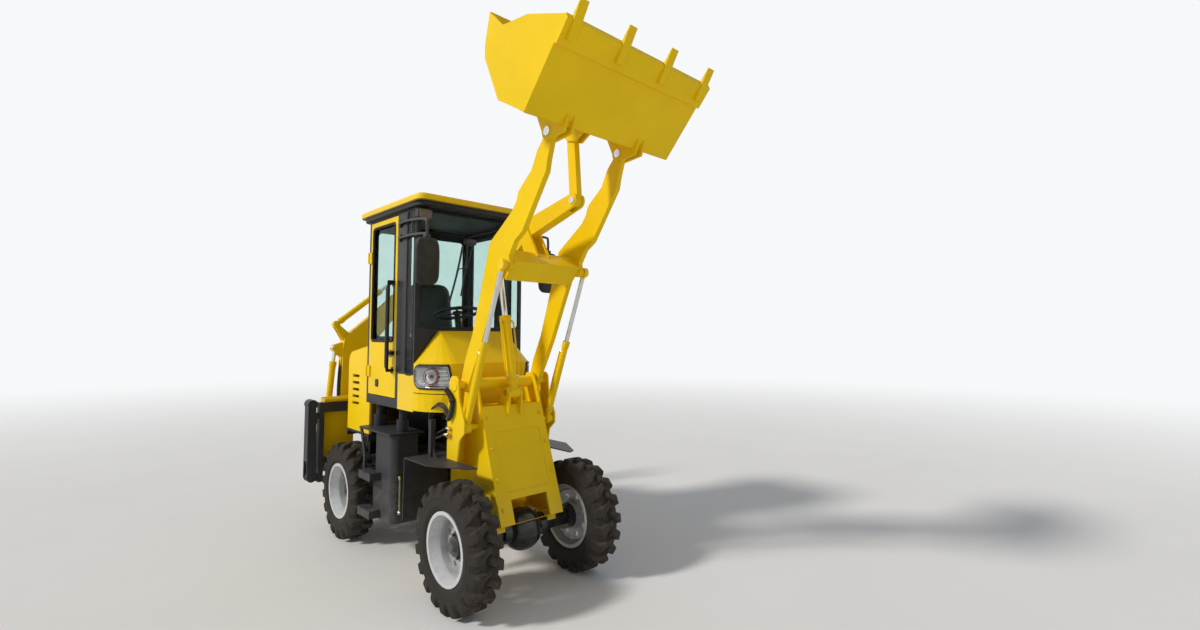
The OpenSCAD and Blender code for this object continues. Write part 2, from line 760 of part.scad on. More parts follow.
module door(side) {
    t = cab_wall - 6;
    x0 = door_rear + 5;
    x1 = door_front - 5;
    z0 = door_low + 5;
    z1 = door_top - 5;
    color(yellow) mirror([0, side < 0 ? 1 : 0, 0]) {
        difference() {
            translate([x0, cab_half - t, z0]) cube([x1 - x0, t, z1 - z0]);
            translate([x0 + door_frame, cab_half - t - 1, z0 + 440])
                cube([x1 - x0 - 2 * door_frame, t + 2, z1 - z0 - 440 - door_frame]);
        }
        for (z = [1400, 2350]) {
            translate([door_rear - 4, hinge_y, z]) cylinder(r = 10, h = 90);
            translate([door_rear - 4, cab_half + 0.5, z]) cube([50, 12, 90]);
            translate([x0 + 1, cab_half - 1, z]) cube([30, 8, 90]);
        }
        // Grab handle out from the front strip, and the latch
        translate([x1 - handle_back, cab_half + handle_out, handle_low]) cylinder(r = handle_r, h = handle_len);
        for (z = [handle_low, handle_low + handle_len]) translate([x1 - handle_back, cab_half + handle_out, z]) {
            sphere(r = handle_r);
            rotate([90, 0, 0]) cylinder(r = handle_r, h = handle_out + 1);
        }
        translate([x1 - 118, cab_half - 1, 1588]) cube([104, 22, 32]);
    }
}

module door_glass(side) {
    x0 = door_rear + 5 + door_frame;
    x1 = door_front - 5 - door_frame;
    z0 = door_low + 445;
    color(pane) mirror([0, side < 0 ? 1 : 0, 0])
        translate([x0, cab_half - 22, z0]) cube([x1 - x0, glass_t, door_top - 5 - door_frame - z0]);
}

// Loader arms with the cross tube, crank bracket and cylinder cheeks
module loader_arms() {
    outline = [
        [556, 2874], [500, 2766], [412, 2697], [364, 2655], [340, 2593], [297, 2541], [43, 2366],
        [-32, 2134], [-162, 1747], [-254, 1565], [-300, 1430], arm_pin + [-40, -30],
        arm_pin + [40, -36], [-175, 1450], [-35, 1710], [83, 1972], [184, 2188], [269, 2259],
        [330, 2350], [411, 2400], [643, 2729], [659, 2802], [700, 2935]
    ];
    tube = [[180, 2110], [285, 2228], [195, 2310], [90, 2192]];
    color(yellow) {
        mirrored() difference() {
            union() {
                slab(outline, arm_y, arm_t);
                slab([[556, 2874], [700, 2930], bucket_pin + [40, 0], bucket_pin + [-40, 0]], arm_y, arm_t);
                boss(bucket_pin, 50, arm_y, arm_t);
                boss(arm_pin, 52, arm_y, arm_t);
            }
            boss(arm_pin, pin_r + run_fit, arm_y, arm_t + 2);
            boss(bucket_pin, pin_r + run_fit, arm_y, arm_t + 2);
        }
        slab(tube, 0, 2 * (arm_y - arm_t / 2) + 2);
        // Bracket plates of the crank
        mirrored() difference() {
            union() {
                slab([[110, 2220], [230, 2285], crank_pin_at + [45, 20], crank_pin_at + [-45, 0]],
                    crank_t / 2 + slide_gap + 9, 18);
                boss(crank_pin_at, 48, crank_t / 2 + slide_gap + 9, 18);
            }
            boss(crank_pin_at, pin_r + run_fit, crank_t / 2 + slide_gap + 9, 20);
        }
        // Lug and spacer that carry the rod eye
        mirrored() {
            boss(lift_eye, 36, arm_y, arm_t);
            slab([lift_eye + [-30, -20], lift_eye + [30, -20], [269, 2280], [140, 2200]], arm_y, arm_t);
            boss(lift_eye, 24, (arm_y + arm_t / 2 - 1 + lift_y - lift_eye_w / 2 - slide_gap) / 2,
                lift_y - lift_eye_w / 2 - slide_gap - arm_y - arm_t / 2 + 1);
        }
    }
}

module lift_barrels() {
    color(yellow) mirrored() barrel(lift_pin, lift_eye, 625, lift_barrel_d / 2, lift_rod_d / 2,
        lift_y, 40, lift_barrel_d - 8, lift_pin_r);
}

module lift_rods() {
    color(chrome) mirrored() piston_rod(lift_pin, lift_eye, 560, lift_rod_d / 2, lift_y, 34, lift_eye_w);
}

module bucket_pins() {
    color(chrome) mirrored() boss(bucket_pin, pin_r, arm_y, arm_t + 50);
}

// Loader bucket: wrapped plates between the two end plates
module loader_bucket() {
    spine = [[409, 3486], [408, 3406], bucket_back, bucket_chamfer, bucket_heel, bucket_edge];
    n = len(spine);
    plate = [
        [456, 3669], [409, 3486], [408, 3406], bucket_back, bucket_chamfer, bucket_heel,
        bucket_edge, [837, 3499], [595, 3534]
    ];
    half = bucket_w / 2;
    out = [edge_dir[1], -edge_dir[0]];
    color(yellow) {
        // Wrapped back and floor, one flat strip for each side of the section
        for (i = [0 : n - 2]) let (
            d = (spine[i + 1] - spine[i]) / norm(spine[i + 1] - spine[i]),
            m = [-d[1], d[0]]
        ) slab([spine[i] - d * 2, spine[i + 1] + d * 2, spine[i + 1] + d * 2 + m * bucket_t,
            spine[i] - d * 2 + m * bucket_t], 0, bucket_w - 2);
        mirrored() slab(plate, half - bucket_t / 2, bucket_t);
        // Upper rim and cutting edge
        slab([[409, 3486], [456, 3669], [470, 3664], [424, 3482]], 0, bucket_w - 2);
        slab([bucket_edge - 2 * out, bucket_edge - 150 * edge_dir - 2 * out, bucket_edge - 150 * edge_dir + 20 * out,
            bucket_edge - 12 * edge_dir + 20 * out], 0, bucket_w);
        // Teeth
        for (i = [0 : tooth_n - 1]) let (y = (i / (tooth_n - 1) - 0.5) * (bucket_w - 130))
            slab([bucket_edge - 110 * edge_dir + 18 * out, bucket_edge - 110 * edge_dir + 42 * out,
                bucket_edge + tooth_len * edge_dir + tooth_tip_t * out,
                bucket_edge + tooth_len * edge_dir, bucket_edge], y, 56);
        // Hinge brackets at the arms, a pair of plates each, and the pair for the link
        for (s = [-1, 1]) mirrored() difference() {
            y = arm_y + s * (arm_t / 2 + slide_gap + 8);
            union() {
                slab([[505, 3218], bucket_back + [4, 4], bucket_chamfer + [4, 6], bucket_heel + [56, 70], bucket_heel + [20, -40],
                    bucket_pin + [10, -52], bucket_pin + [-50, 0]], y, 16);
                boss(bucket_pin, 52, y, 16);
            }
            boss(bucket_pin, pin_r + run_fit, y, 18);
        }
        lugs([[434, 3363], bucket_back + [4, 4], bucket_chamfer + [4, 6], link_top + [60, -60], link_top + [0, -45],
            link_top + [-40, 0]], link_w + 2 * slide_gap, 14);
        for (s = [-1, 1]) boss(link_top, 42, s * (link_w / 2 + slide_gap + 7), 14);
    }
}

module crank_pin() {
    color(chrome) boss(crank_pin_at, pin_r, 0, crank_t + 50);
}

module bell_crank() {
    color(yellow) difference() {
        union() {
            bar(crank_low, crank_pin_at, 48, 66, 0, crank_t);
            bar(crank_pin_at, crank_top, 66, 46, 0, crank_t);
        }
        boss(crank_pin_at, pin_r + run_fit, 0, crank_t + 2);
        // Slots for the link above and the rod eye below
        boss(crank_top, 76, 0, link_w + 2 * slide_gap);
        for (d = eye_travel) boss(crank_low + [d[0], d[1]], d[2], 0, tilt_eye_w + 2 * slide_gap);
        boss(crank_top, link_pin_r + run_fit, 0, crank_t + 2);
    }
}

module link_pin() {
    color(chrome) boss(crank_top, link_pin_r, 0, crank_t + 10);
}

module bucket_link() {
    color(yellow) difference() {
        bar(crank_top, link_top, 38, 36, 0, link_w);
        boss(crank_top, link_pin_r + run_fit, 0, link_w + 2);
    }
}

module tilt_pin() {
    color(chrome) boss(tilt_base, tilt_pin_r, 0, tilt_base_w + 44);
}

module tilt_barrel() {
    color(yellow) barrel(tilt_base, crank_low, 560, tilt_barrel_d / 2, tilt_rod_d / 2, 0, 42,
        tilt_base_w, tilt_pin_r);
}

module tilt_rod() {
    color(chrome) piston_rod(tilt_base, crank_low, 480, tilt_rod_d / 2, 0, 40, tilt_eye_w);
}

// Backhoe frame with its two slide beams and the brackets of the stabilisers
module backhoe_frame() {
    lug = slide_d - 4;
    color(dark) {
        for (z = [520, 1030]) translate([slide_x - slide_d, -stay_half, z])
            cube([slide_d, 2 * stay_half, 90]);
        mirrored() {
            translate([slide_x - slide_d, stay_half - 40, 400]) cube([slide_d, 40, 720]);
            // Lower lug with the leg's pin
            translate([stay_x - lug / 2, stay_half - 1, leg_pin[1] - 34]) cube([lug, leg_pin[0] - stay_half + 1, 68]);
            translate([stay_x, leg_pin[0], leg_pin[1]]) rotate([0, 90, 0]) {
                cylinder(r = 34, h = lug, center = true);
                cylinder(r = 20, h = lug + 42, center = true);
            }
            // Upper lug plates of the cylinder, with its pin
            for (s = [-1, 1]) translate([stay_x + s * (stay_base_w / 2 + slide_gap + 4) - 4, stay_half - 1, stay_base[1] - 24])
                cube([8, stay_base[0] - stay_half + 19, 48]);
            translate([stay_x, stay_base[0], stay_base[1]]) rotate([0, 90, 0])
                cylinder(r = 9, h = stay_base_w + 18, center = true);
        }
    }
}

// A stabiliser leg is a channel round its cylinder, folded up, with a round foot at its end
module leg_plane(side) {
    translate([stay_x, 0, 0]) mirror([0, side < 0 ? 1 : 0, 0]) rotate([0, 0, 90]) children();
}

module stabiliser(side) {
    plate_x = slide_d / 2 + slide_gap;
    top = leg_pin[1] + leg_len - 70;
    web = 42;
    web_foot = 148;
    color(dark) leg_plane(side) difference() {
        union() {
            for (s = [-1, 1]) {
                slab([leg_pin + [-40, 0], leg_pin + [web, 0], [leg_pin[0] + web, top], [leg_pin[0] - 25, top]],
                    s * (plate_x + 6), 12);
                boss(leg_pin, 40, s * (plate_x + 6), 12);
            }
            lugs([stay_eye + [-24, -28], stay_eye + [30, -28], stay_eye + [30, 28], stay_eye + [-24, 28]],
                stay_eye_w + 2 * slide_gap, 10);
            slab([[leg_pin[0] + web - 10, leg_pin[1] + web_foot], [leg_pin[0] + web, leg_pin[1] + web_foot],
                [leg_pin[0] + web, top], [leg_pin[0] + web - 10, top]], 0, 2 * plate_x + 2);
            boss([leg_pin[0] + 5, top + 10], 42, 0, 2 * plate_x + 40);
        }
        boss(leg_pin, 20 + run_fit, 0, 2 * plate_x + 40);
    }
}

module stay_barrel(side) {
    color(dark) leg_plane(side) barrel(stay_base, stay_eye, 330, 22, 12, 0, 20, stay_base_w, 9);
}

module stay_rod(side) {
    color(chrome) leg_plane(side) piston_rod(stay_base, stay_eye, 60, 12, 0, 20, stay_eye_w);
}

// Backhoe: everything beyond the carriage is drawn in the boom plane and turned to it
module hoe_plane() {
    translate([slew_x, carriage_y, 0]) rotate([0, 0, 90]) children();
}

module carriage() {
    y0 = carriage_y - carriage_half;
    color(yellow) {
        translate([carriage_x - carriage_t, y0, 480]) cube([carriage_t, 2 * carriage_half, 680]);
        for (z = [slew_low, slew_high]) difference() {
            union() {
                translate([slew_x, carriage_y, z]) cylinder(r = slew_lug_r, h = slew_lug_t);
                translate([slew_x, carriage_y - slew_lug_r, z])
                    cube([carriage_x - carriage_t + 1 - slew_x, 2 * slew_lug_r, slew_lug_t]);
            }
            translate([slew_x, carriage_y, z - 1]) cylinder(r = slew_r + run_fit, h = slew_lug_t + 2);
        }
        // Hooks over the upper and under the lower beam
        translate([carriage_x - 1, y0, 1120 + slide_gap]) cube([60, 2 * carriage_half, 30]);
        translate([carriage_x - 1, y0, 490 - slide_gap]) cube([60, 2 * carriage_half, 30]);
    }
}

module swing_post() {
    low = slew_low + slew_lug_t + 1;
    color(yellow) hoe_plane() {
        translate([0, 0, slew_low + 2]) cylinder(r = slew_r, h = slew_high + slew_lug_t + 10 - slew_low);
        intersection() {
            translate([0, 0, low]) cylinder(r = 78, h = slew_high - 1 - low);
            translate([-100, -100, low]) cube([150, 200, 400]);
        }
        translate([0, 0, slew_high + slew_lug_t + 1]) cylinder(r = 50, h = 32);
        // Side plates that hold the boom's foot
        lugs([[0, 640], boom_foot + [0, -55], boom_foot + [48, 20], boom_foot + [20, 70], [50, 870], [0, 870]],
            boom_w + 2 * slide_gap, 16);
        boss(boom_foot, hoe_pin_r, 0, boom_w + 50);
        // Lugs and pin of the boom cylinder
        lugs([[20, slew_high + slew_lug_t + 10], boom_base + [34, 6], boom_base + [10, 32], boom_base + [-34, 10],
            boom_base + [-30, -30], [-30, slew_high + slew_lug_t + 10]], 61, 12);
        boss(boom_base, 16, 0, 92);
    }
}

module boom() {
    elbow = along(boom_bend, dipper_pin, 560);
    color(yellow) hoe_plane() {
        difference() {
            union() {
                boss(boom_foot, 50, 0, boom_w);
                slab([boom_foot + [-46, 20], boom_foot + [46, 20], boom_bend + [95, -70], elbow + [62, -56],
                    dipper_pin + [50, -50], dipper_pin + [-44, 55], elbow + [-58, 62], boom_bend + [-62, 145],
                    boom_bend + [-78, 30]], 0, boom_w);
                boss(dipper_pin, 70, 0, boom_w);
            }
            boss(boom_foot, hoe_pin_r + run_fit, 0, boom_w + 2);
            // Fork for the dipper
            slab([elbow + [-120, 20], elbow + [20, -120], dipper_pin + [140, -60], dipper_pin + [60, 150],
                dipper_pin + [-120, 150]], 0, fork_w);
        }
        boss(dipper_pin, hoe_pin_r, 0, boom_w + 24);
        // Lugs of the boom cylinder's rod and of the dipper cylinder's base
        lugs([boom_bend + [-74, -50], boom_bend + [-74, 100], boom_eye + [-10, 36], boom_eye + [-36, 0],
            boom_eye + [-10, -36]], 47, 14);
        lugs([boom_bend + [-72, 120], boom_bend + [-10, 188], dipper_base + [30, -14], dipper_base + [6, 34],
            dipper_base + [-36, 0]], 47, 14);
        boss(dipper_base, 16, 0, 74);
    }
}

module boom_barrel() {
    color(yellow) hoe_plane() barrel(boom_base, boom_eye, 500, hoe_barrel_d / 2, hoe_rod_d / 2, 0, 34, 60, 16);
}

module boom_rod() {
    color(chrome) hoe_plane() piston_rod(boom_base, boom_eye, 76, hoe_rod_d / 2, 0, 30, 46);
}

module dipper() {
    color(yellow) hoe_plane() difference() {
        union() {
            bar(dipper_pin, dig_pin, 66, 40, 0, dipper_w);
            slab([dipper_pin + [-64, 20], dipper_pin + [40, 52], dipper_tail + [34, 14], dipper_tail + [0, 36],
                dipper_tail + [-36, 0]], 0, dipper_w);
            slab([dipper_pin + [58, -40], [dig_base[0] + 36, dig_base[1] + 10], [dig_base[0] + 36, dig_base[1] - 30],
                [dig_base[0] - 78, dig_base[1] - 140]], 0, dipper_w);
            boss(dig_pin, 20, 0, dipper_w + 34);
            boss(rocker_pin, 16, 0, dipper_w + 34);
        }
        boss(dipper_pin, hoe_pin_r + run_fit, 0, dipper_w + 2);
        // Slots for the two cylinders' eyes
        for (d = tail_travel) boss(dipper_tail + [d[0], d[1]], d[2], 0, 47);
        slab([dig_base + [-46, 60], dig_base + [60, 60], dig_base + [60, -120], dig_base + [-46, -120]], 0, 54);
    }
    color(yellow) hoe_plane() boss(dig_base, 14, 0, 60);
}

module dipper_barrel() {
    color(yellow) hoe_plane() barrel(dipper_base, dipper_tail, 560, hoe_barrel_d / 2, hoe_rod_d / 2, 0, 34, 46, 16);
}

module dipper_rod() {
    color(chrome) hoe_plane() piston_rod(dipper_base, dipper_tail, 470, hoe_rod_d / 2, 0, 30, 46);
}

// Digging bucket, curled in: rounded shell between two cheeks, with ears and teeth
module digging_bucket() {
    lip = dig_pin + [-65, 85];
    tip = dig_pin + [-370, 180];
    belly = dig_pin + [-177, -42];
    belly_r = 205;
    ear_y = dipper_w / 2 + slide_gap + 8;
    // Outline of a cheek: mouth line, then round the belly
    cheek = concat([lip, tip], [for (a = [175 : 17.5 : 350]) belly + belly_r * [cos(a), sin(a)]],
        [dig_pin + [35, 20]]);
    color(yellow) hoe_plane() difference() {
        union() {
            difference() {
                slab(cheek, 0, dig_w);
                slab(concat([lip + [-2, 30], tip + [12, 40]],
                    [for (a = [175 : 17.5 : 350]) belly + (belly_r - 12) * [cos(a), sin(a)]], [dig_pin + [21, 10]]),
                    0, dig_w - 24);
            }
            for (s = [-1, 1]) slab([dig_pin + [-42, 0], dig_pin + [-10, 42], dig_pin + [44, 30], dig_eye + [34, 16],
                dig_eye + [16, -34], dig_pin + [-15, -150], dig_pin + [-55, -90]], s * ear_y, 16);
            // Teeth beyond the lip plate
            for (i = [0 : 3]) slab([tip + [2, -40], tip + [22, -40], tip + [8, 78], tip + [2, 78]],
                (i / 3 - 0.5) * (dig_w - 44), 40);
        }
        for (s = [-1, 1]) {
            boss(dig_pin, 20 + run_fit, s * ear_y, 18);
            bar(dig_eye, dig_eye + ear_travel, link_pin_d / 2 + 3.5, link_pin_d / 2 + 3.5, s * ear_y, 18);
        }
        slab([dig_pin + [-60, 60], dig_pin + [60, 60], dig_pin + [65, -40], dig_pin + [45, -70],
            dig_pin + [-55, -65]], 0, 2 * ear_y - 16);
        slab([dig_pin + [-90, 100], dig_pin + [90, 100], dig_pin + [60, -52], dig_pin + [-60, -52]],
            0, 2 * ear_y - 16);
    }
}

module bucket_barrel() {
    color(yellow) hoe_plane() barrel(dig_base, rocker_end, 470, hoe_barrel_d / 2 - 8, hoe_rod_d / 2 - 4,
        0, 28, 46, 14);
}

module bucket_rod() {
    color(chrome) hoe_plane() piston_rod(dig_base, rocker_end, 380, hoe_rod_d / 2 - 4, 0, 24, 40);
}

module bucket_rocker() {
    color(yellow) hoe_plane() difference() {
        for (s = [-1, 1]) bar(rocker_pin, rocker_end, 28, 26, s * (dipper_w / 2 + slide_gap + 6), 12);
        boss(rocker_pin, 16 + run_fit, 0, dipper_w + 60);
        boss(rocker_end, link_pin_d / 2 + run_fit, 0, dipper_w + 60);
    }
}

// Two link plates outside the rocker and the ears, with a stub pin at each end
module rocker_link() {
    y = dipper_w / 2 + slide_gap + 16 + slide_gap + 6;
    color(yellow) hoe_plane() for (s = [-1, 1]) {
        bar(rocker_end, dig_eye, 24, 24, s * y, 12);
        for (p = [rocker_end, dig_eye]) boss(p, link_pin_d / 2, s * (y - 11), 22);
    }
}

place() rear_frame();
place() engine_block();
place() side_tanks();
place() axle(rear_x);  // rear_axle
place() cab_shell();
place() cab_roof();
place() cab_glass();
place() nose();
place() headlamps();
place() mirrors();
place() rear_hood();
place() seat();
place() steering_wheel();
place() door(-1);  // door_right
place() door_glass(-1);  // door_right_glass
place() door(1);  // door_left
place() door_glass(1);  // door_left_glass
place() backhoe_frame();
place() front_frame();
place() axle(0);  // front_axle
place() front_mudguards();
place() tyre(0, -wheel_y);  // tyre_front_right
place() rim(0, -wheel_y, 1);  // rim_front_right
place() tyre(0, wheel_y);  // tyre_front_left
place() rim(0, wheel_y, -1);  // rim_front_left
place() tyre(rear_x, -wheel_y);  // tyre_rear_right
place() rim(rear_x, -wheel_y, 1);  // rim_rear_right
place() tyre(rear_x, wheel_y);  // tyre_rear_left
place() rim(rear_x, wheel_y, -1);  // rim_rear_left
place() loader_arms();
place() lift_barrels();
place() lift_rods();
place() bucket_pins();
place() loader_bucket();
place() crank_pin();
place() bell_crank();
place() link_pin();
place() bucket_link();
place() tilt_pin();
place() tilt_barrel();
place() tilt_rod();
place() carriage();
place() swing_post();
place() boom();
place() boom_barrel();
place() boom_rod();
place() dipper();
place() dipper_barrel();
place() dipper_rod();
place() digging_bucket();
place() bucket_barrel();
place() bucket_rod();
place() bucket_rocker();
place() rocker_link();
place() stabiliser(-1);  // stabiliser_right
place() stabiliser(1);  // stabiliser_left
place() stay_barrel(-1);  // stay_barrel_right
place() stay_barrel(1);  // stay_barrel_left
place() stay_rod(-1);  // stay_rod_right
place() stay_rod(1);  // stay_rod_left
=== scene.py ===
import math

import bmesh
import bpy
import numpy as np
from mathutils import Matrix, Vector


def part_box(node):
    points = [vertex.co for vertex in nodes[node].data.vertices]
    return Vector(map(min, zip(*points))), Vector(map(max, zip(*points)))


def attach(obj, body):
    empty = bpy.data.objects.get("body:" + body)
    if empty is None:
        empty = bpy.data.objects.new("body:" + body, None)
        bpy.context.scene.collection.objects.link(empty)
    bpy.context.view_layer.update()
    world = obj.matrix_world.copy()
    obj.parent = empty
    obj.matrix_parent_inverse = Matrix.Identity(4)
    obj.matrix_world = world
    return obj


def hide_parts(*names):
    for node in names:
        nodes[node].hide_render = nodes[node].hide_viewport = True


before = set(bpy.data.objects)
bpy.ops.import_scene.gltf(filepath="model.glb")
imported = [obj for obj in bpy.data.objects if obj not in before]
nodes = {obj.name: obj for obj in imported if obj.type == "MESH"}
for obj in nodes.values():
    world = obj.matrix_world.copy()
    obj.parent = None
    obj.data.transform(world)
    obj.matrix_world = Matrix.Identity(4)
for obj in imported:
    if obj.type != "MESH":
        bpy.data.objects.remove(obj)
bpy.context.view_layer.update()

# ---- Where the machine stands
# The front axle's line and the tyres are what the loader is set out from: X forward, Y to the left.
front = (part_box("rim_front_right")[0].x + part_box("rim_front_right")[1].x) / 2
cab_side = 0.48
cab_nose = front - 0.70
cab_back = front - 1.567

# ---- Camera
# A phone held at eye height, 3.6 m from the front corner, tilted a little up to take in the raised bucket.
camera = bpy.data.objects.new("camera", bpy.data.cameras.new("camera"))
bpy.context.scene.collection.objects.link(camera)
bpy.context.scene.camera = camera
turn, tilt, roll = (math.radians(angle) for angle in (43.62, 2.83, 0.26))
level_right = Vector((math.sin(turn), math.cos(turn), 0))
level_ahead = Vector((-math.cos(turn), math.sin(turn), 0))
ahead = level_ahead * math.cos(tilt) + Vector((0, 0, 1)) * math.sin(tilt)
above = Vector((0, 0, 1)) * math.cos(tilt) - level_ahead * math.sin(tilt)
right = level_right * math.cos(roll) + above * math.sin(roll)
above = above * math.cos(roll) - level_right * math.sin(roll)
camera.matrix_world = Matrix.Translation((front + 3.303, -2.398, 1.746)) @ Matrix((right, above,
        -ahead)).transposed().to_4x4()
camera.data.sensor_width = 36
camera.data.lens = 17.094
camera.data.shift_y = -0.00605
camera.data.clip_start = 0.05
camera.data.clip_end = 200


# ---- Material wiring
# Paint, rubber and glass are worked out as sums over the surface, so one small class carries a socket through them.
class Wire:
    """One output socket of a material. Sums and products with it add Math nodes, and node() adds any other kind."""

    def __init__(self, tree, socket=None):
        self.tree = tree
        self.socket = socket

    def node(self, kind, settings, inputs, output=0):
        made = self.tree.nodes.new("ShaderNode" + kind)
        for name, value in settings.items():
            if name == "stops":
                while len(made.color_ramp.elements) < len(value):
                    made.color_ramp.elements.new(1)
                for stop, (place, colour) in zip(made.color_ramp.elements, value):
                    stop.position = place
                    stop.color = (*colour, 1)
            else:
                setattr(made, name, value)
        for name, value in inputs.items():
            if isinstance(value, Wire):
                self.tree.links.new(value.socket, made.inputs[name])
            else:
                made.inputs[name].default_value = value
        return Wire(self.tree, made.outputs[output])

    def maths(self, operation, first, second=0.0, clamp=False):
        return self.node("Math", {"operation": operation, "use_clamp": clamp}, {0: first, 1: second})

    def __add__(self, other):
        return self.maths("ADD", self, other)

    def __sub__(self, other):
        return self.maths("SUBTRACT", self, other)

    def __rsub__(self, other):
        return self.maths("SUBTRACT", other, self)

    def __mul__(self, other):
        return self.maths("MULTIPLY", self, other)

    def __truediv__(self, other):
        return self.maths("DIVIDE", self, other)

    __radd__ = __add__
    __rmul__ = __mul__

    def over(self, low, high):
        """0 up to low, 1 from high on, and a smooth rise between them."""
        return self.node("MapRange", {"interpolation_type": "SMOOTHSTEP"}, {0: self, 1: low, 2: high})

    def noise(self, scale, detail=3.0, stretch=(1, 1, 1)):
        """Cloudy noise about 0.5 in metres of the object, finer as scale grows."""
        at = self.node("TexCoord", {}, {}, "Object")
        at = self.node("Mapping", {}, {0: at, 3: stretch})
        return self.node("TexNoise", {}, {"Vector": at, "Scale": scale, "Detail": detail, "Roughness": 0.6})

    def places(self):
        """The three coordinates of the object's own frame, in metres."""
        at = self.node("TexCoord", {}, {}, "Object")
        return [self.node("SeparateXYZ", {}, {0: at}, axis) for axis in range(3)]

    def faces(self):
        """The three parts of the face's outward direction, in the object's own frame."""
        at = self.node("TexCoord", {}, {}, "Normal")
        return [self.node("SeparateXYZ", {}, {0: at}, axis) for axis in range(3)]

    def mix(self, first, second):
        """The first colour where this is 0 and the second where it is 1."""
        first, second = (colour if isinstance(colour, Wire) else (*colour, 1) for colour in (first, second))
        return self.node("Mix", {"data_type": "RGBA"}, {0: self, 6: first, 7: second}, 2)


def material(name, **constants):
    """A new material: its shader's fixed sockets are set here, and a Wire to start sums from comes back with it."""
    made = bpy.data.materials.new(name)
    made.use_nodes = True
    shader = made.node_tree.nodes["Principled BSDF"]
    for socket, value in constants.items():
        shader.inputs[socket.replace("_", " ")].default_value = value
    return made, shader, Wire(made.node_tree)


def wear(made, shader, colour, rough, bumps=None, depth=0.0005, edge=0.0):
    """Joins a finish to its shader: colour, roughness, and bumps of the given depth over edges rounded by edge."""
    links = made.node_tree.links
    links.new(colour.socket, shader.inputs["Base Color"])
    links.new(rough.socket, shader.inputs["Roughness"])
    rounded = colour.node("Bevel", {"samples": 4}, {"Radius": edge}) if edge else None
    if bumps is not None:
        inputs = {"Strength": 1.0, "Distance": depth, "Height": bumps}
        if rounded:
            inputs["Normal"] = rounded
        links.new(colour.node("Bump", {}, inputs).socket, shader.inputs["Normal"])
    elif rounded:
        links.new(rounded.socket, shader.inputs["Normal"])


def coat(made, *names):
    """Gives CAD nodes this material in every slot."""
    for name in names:
        slots = nodes[name].data.materials
        for index in range(len(slots)):
            slots[index] = made
        if not slots:
            slots.append(made)


# ---- Floor and studio
# A pale sweep of floor under the machine, white to the camera, lit softly with the key from the machine's right side.
floor_mesh = bpy.data.meshes.new("floor")
floor_mesh.from_pydata([(-60, -60, 0), (60, -60, 0), (60, 60, 0), (-60, 60, 0)], [], [(0, 1, 2, 3)])
floor = bpy.data.objects.new("floor", floor_mesh)
bpy.context.scene.collection.objects.link(floor)
floor_finish, floor_shader, wire = material("floor", Roughness=0.9)
grey = wire.noise(0.6).over(0.2, 0.8).mix((0.80, 0.79, 0.78), (0.83, 0.82, 0.81))
wear(floor_finish, floor_shader, grey, wire.noise(2.0) * 0.1 + 0.85)
far_x, far_y, _ = wire.places()
distance = wire.maths("SQRT", far_x * far_x + far_y * far_y)
to_white = wire.node("Emission", {}, {"Color": (0.93, 0.94, 0.95, 1)})
looking = wire.node("LightPath", {}, {}, "Is Camera Ray")
sweep = wire.node("MixShader", {},
                  {0: distance.over(4.0, 22.0) * looking, 1: Wire(wire.tree, floor_shader.outputs[0]),
                   2: to_white})
wire.tree.links.new(sweep.socket, wire.tree.nodes["Material Output"].inputs["Surface"])
floor_mesh.materials.append(floor_finish)

world = bpy.data.worlds.new("studio")
bpy.context.scene.world = world
world.use_nodes = True
sky = world.node_tree.nodes["Background"]
air = Wire(world.node_tree)
seen = air.node("LightPath", {}, {}, "Is Camera Ray")
for ray in ("Is Glossy Ray", "Is Transmission Ray"):
    seen = air.maths("MAXIMUM", seen, air.node("LightPath", {}, {}, ray))
world.node_tree.links.new(seen.mix((0.80, 0.84, 0.90), (0.93, 0.94, 0.95)).socket, sky.inputs["Color"])
world.node_tree.links.new((seen * 0.62 + 0.38).socket, sky.inputs["Strength"])

for name, place, strength, spread, colour in (
    ("key", (-2.5, -8.0, 6.2), 2.3, 8, (1.0, 0.97, 0.91)),
    ("front_fill", (8.0, 3.0, 5.0), 0.12, 40, (0.94, 0.97, 1.0)),
):
    lamp = bpy.data.lights.new(name, "SUN")
    lamp.energy = strength
    lamp.angle = math.radians(spread)
    lamp.color = colour
    holder = bpy.data.objects.new(name, lamp)
    bpy.context.scene.collection.objects.link(holder)
    holder.location = place
    holder.rotation_euler = (-Vector(place)).to_track_quat("-Z", "Y").to_euler()

bpy.context.scene.view_settings.view_transform = "Standard"


# ---- Yellow paint
# Plate and castings sprayed with signal yellow enamel: a soft gloss, faint orange peel, tone that drifts by a shade
# from panel to panel, thin at the arrises, with road dust that has settled low down and on the ledges.
def enamel(name, colour, dust, rough=0.36, low=0.9, gloss=0.03, bare=0.14, masks=()):
    """Mixes two tones of the colour by broad cloud noise, lays other colours over it where their masks say, then dust
    by height below low and by how far faces look up. A mask is a function of the wire that gives 1 in its place."""
    made, shader, wire = material(name, Specular_IOR_Level=bare, Coat_Weight=gloss, Coat_Roughness=0.18)
    height = wire.places()[2]
    upward = wire.faces()[2]
    cloud = wire.noise(1.7, 4).over(0.25, 0.75)
    tone = cloud.mix([channel * 0.93 for channel in colour], [min(1, channel * 1.04) for channel in colour])
    for mask, other in masks:
        tone = mask(wire).mix(tone, cloud.mix([channel * 0.93 for channel in other],
                                              [min(1, channel * 1.04) for channel in other]))
    grime = wire.noise(14, 6).over(0.35, 0.8)
    settled = (1 - height.over(0.1, low)) * 0.45 + upward.over(0.6, 1.0) * 0.12
    film = settled * (grime * 0.7 + 0.15)
    streaks = wire.noise(26, 5, (1, 1, 0.08)).over(0.66, 0.95) * 0.07
    film = film + streaks
    worn = film.mix(tone, dust)
    wear(made, shader, worn, film * 0.45 + wire.noise(30, 2) * 0.08 + rough, wire.noise(420, 2), 0.00035, 0.004)
    return made


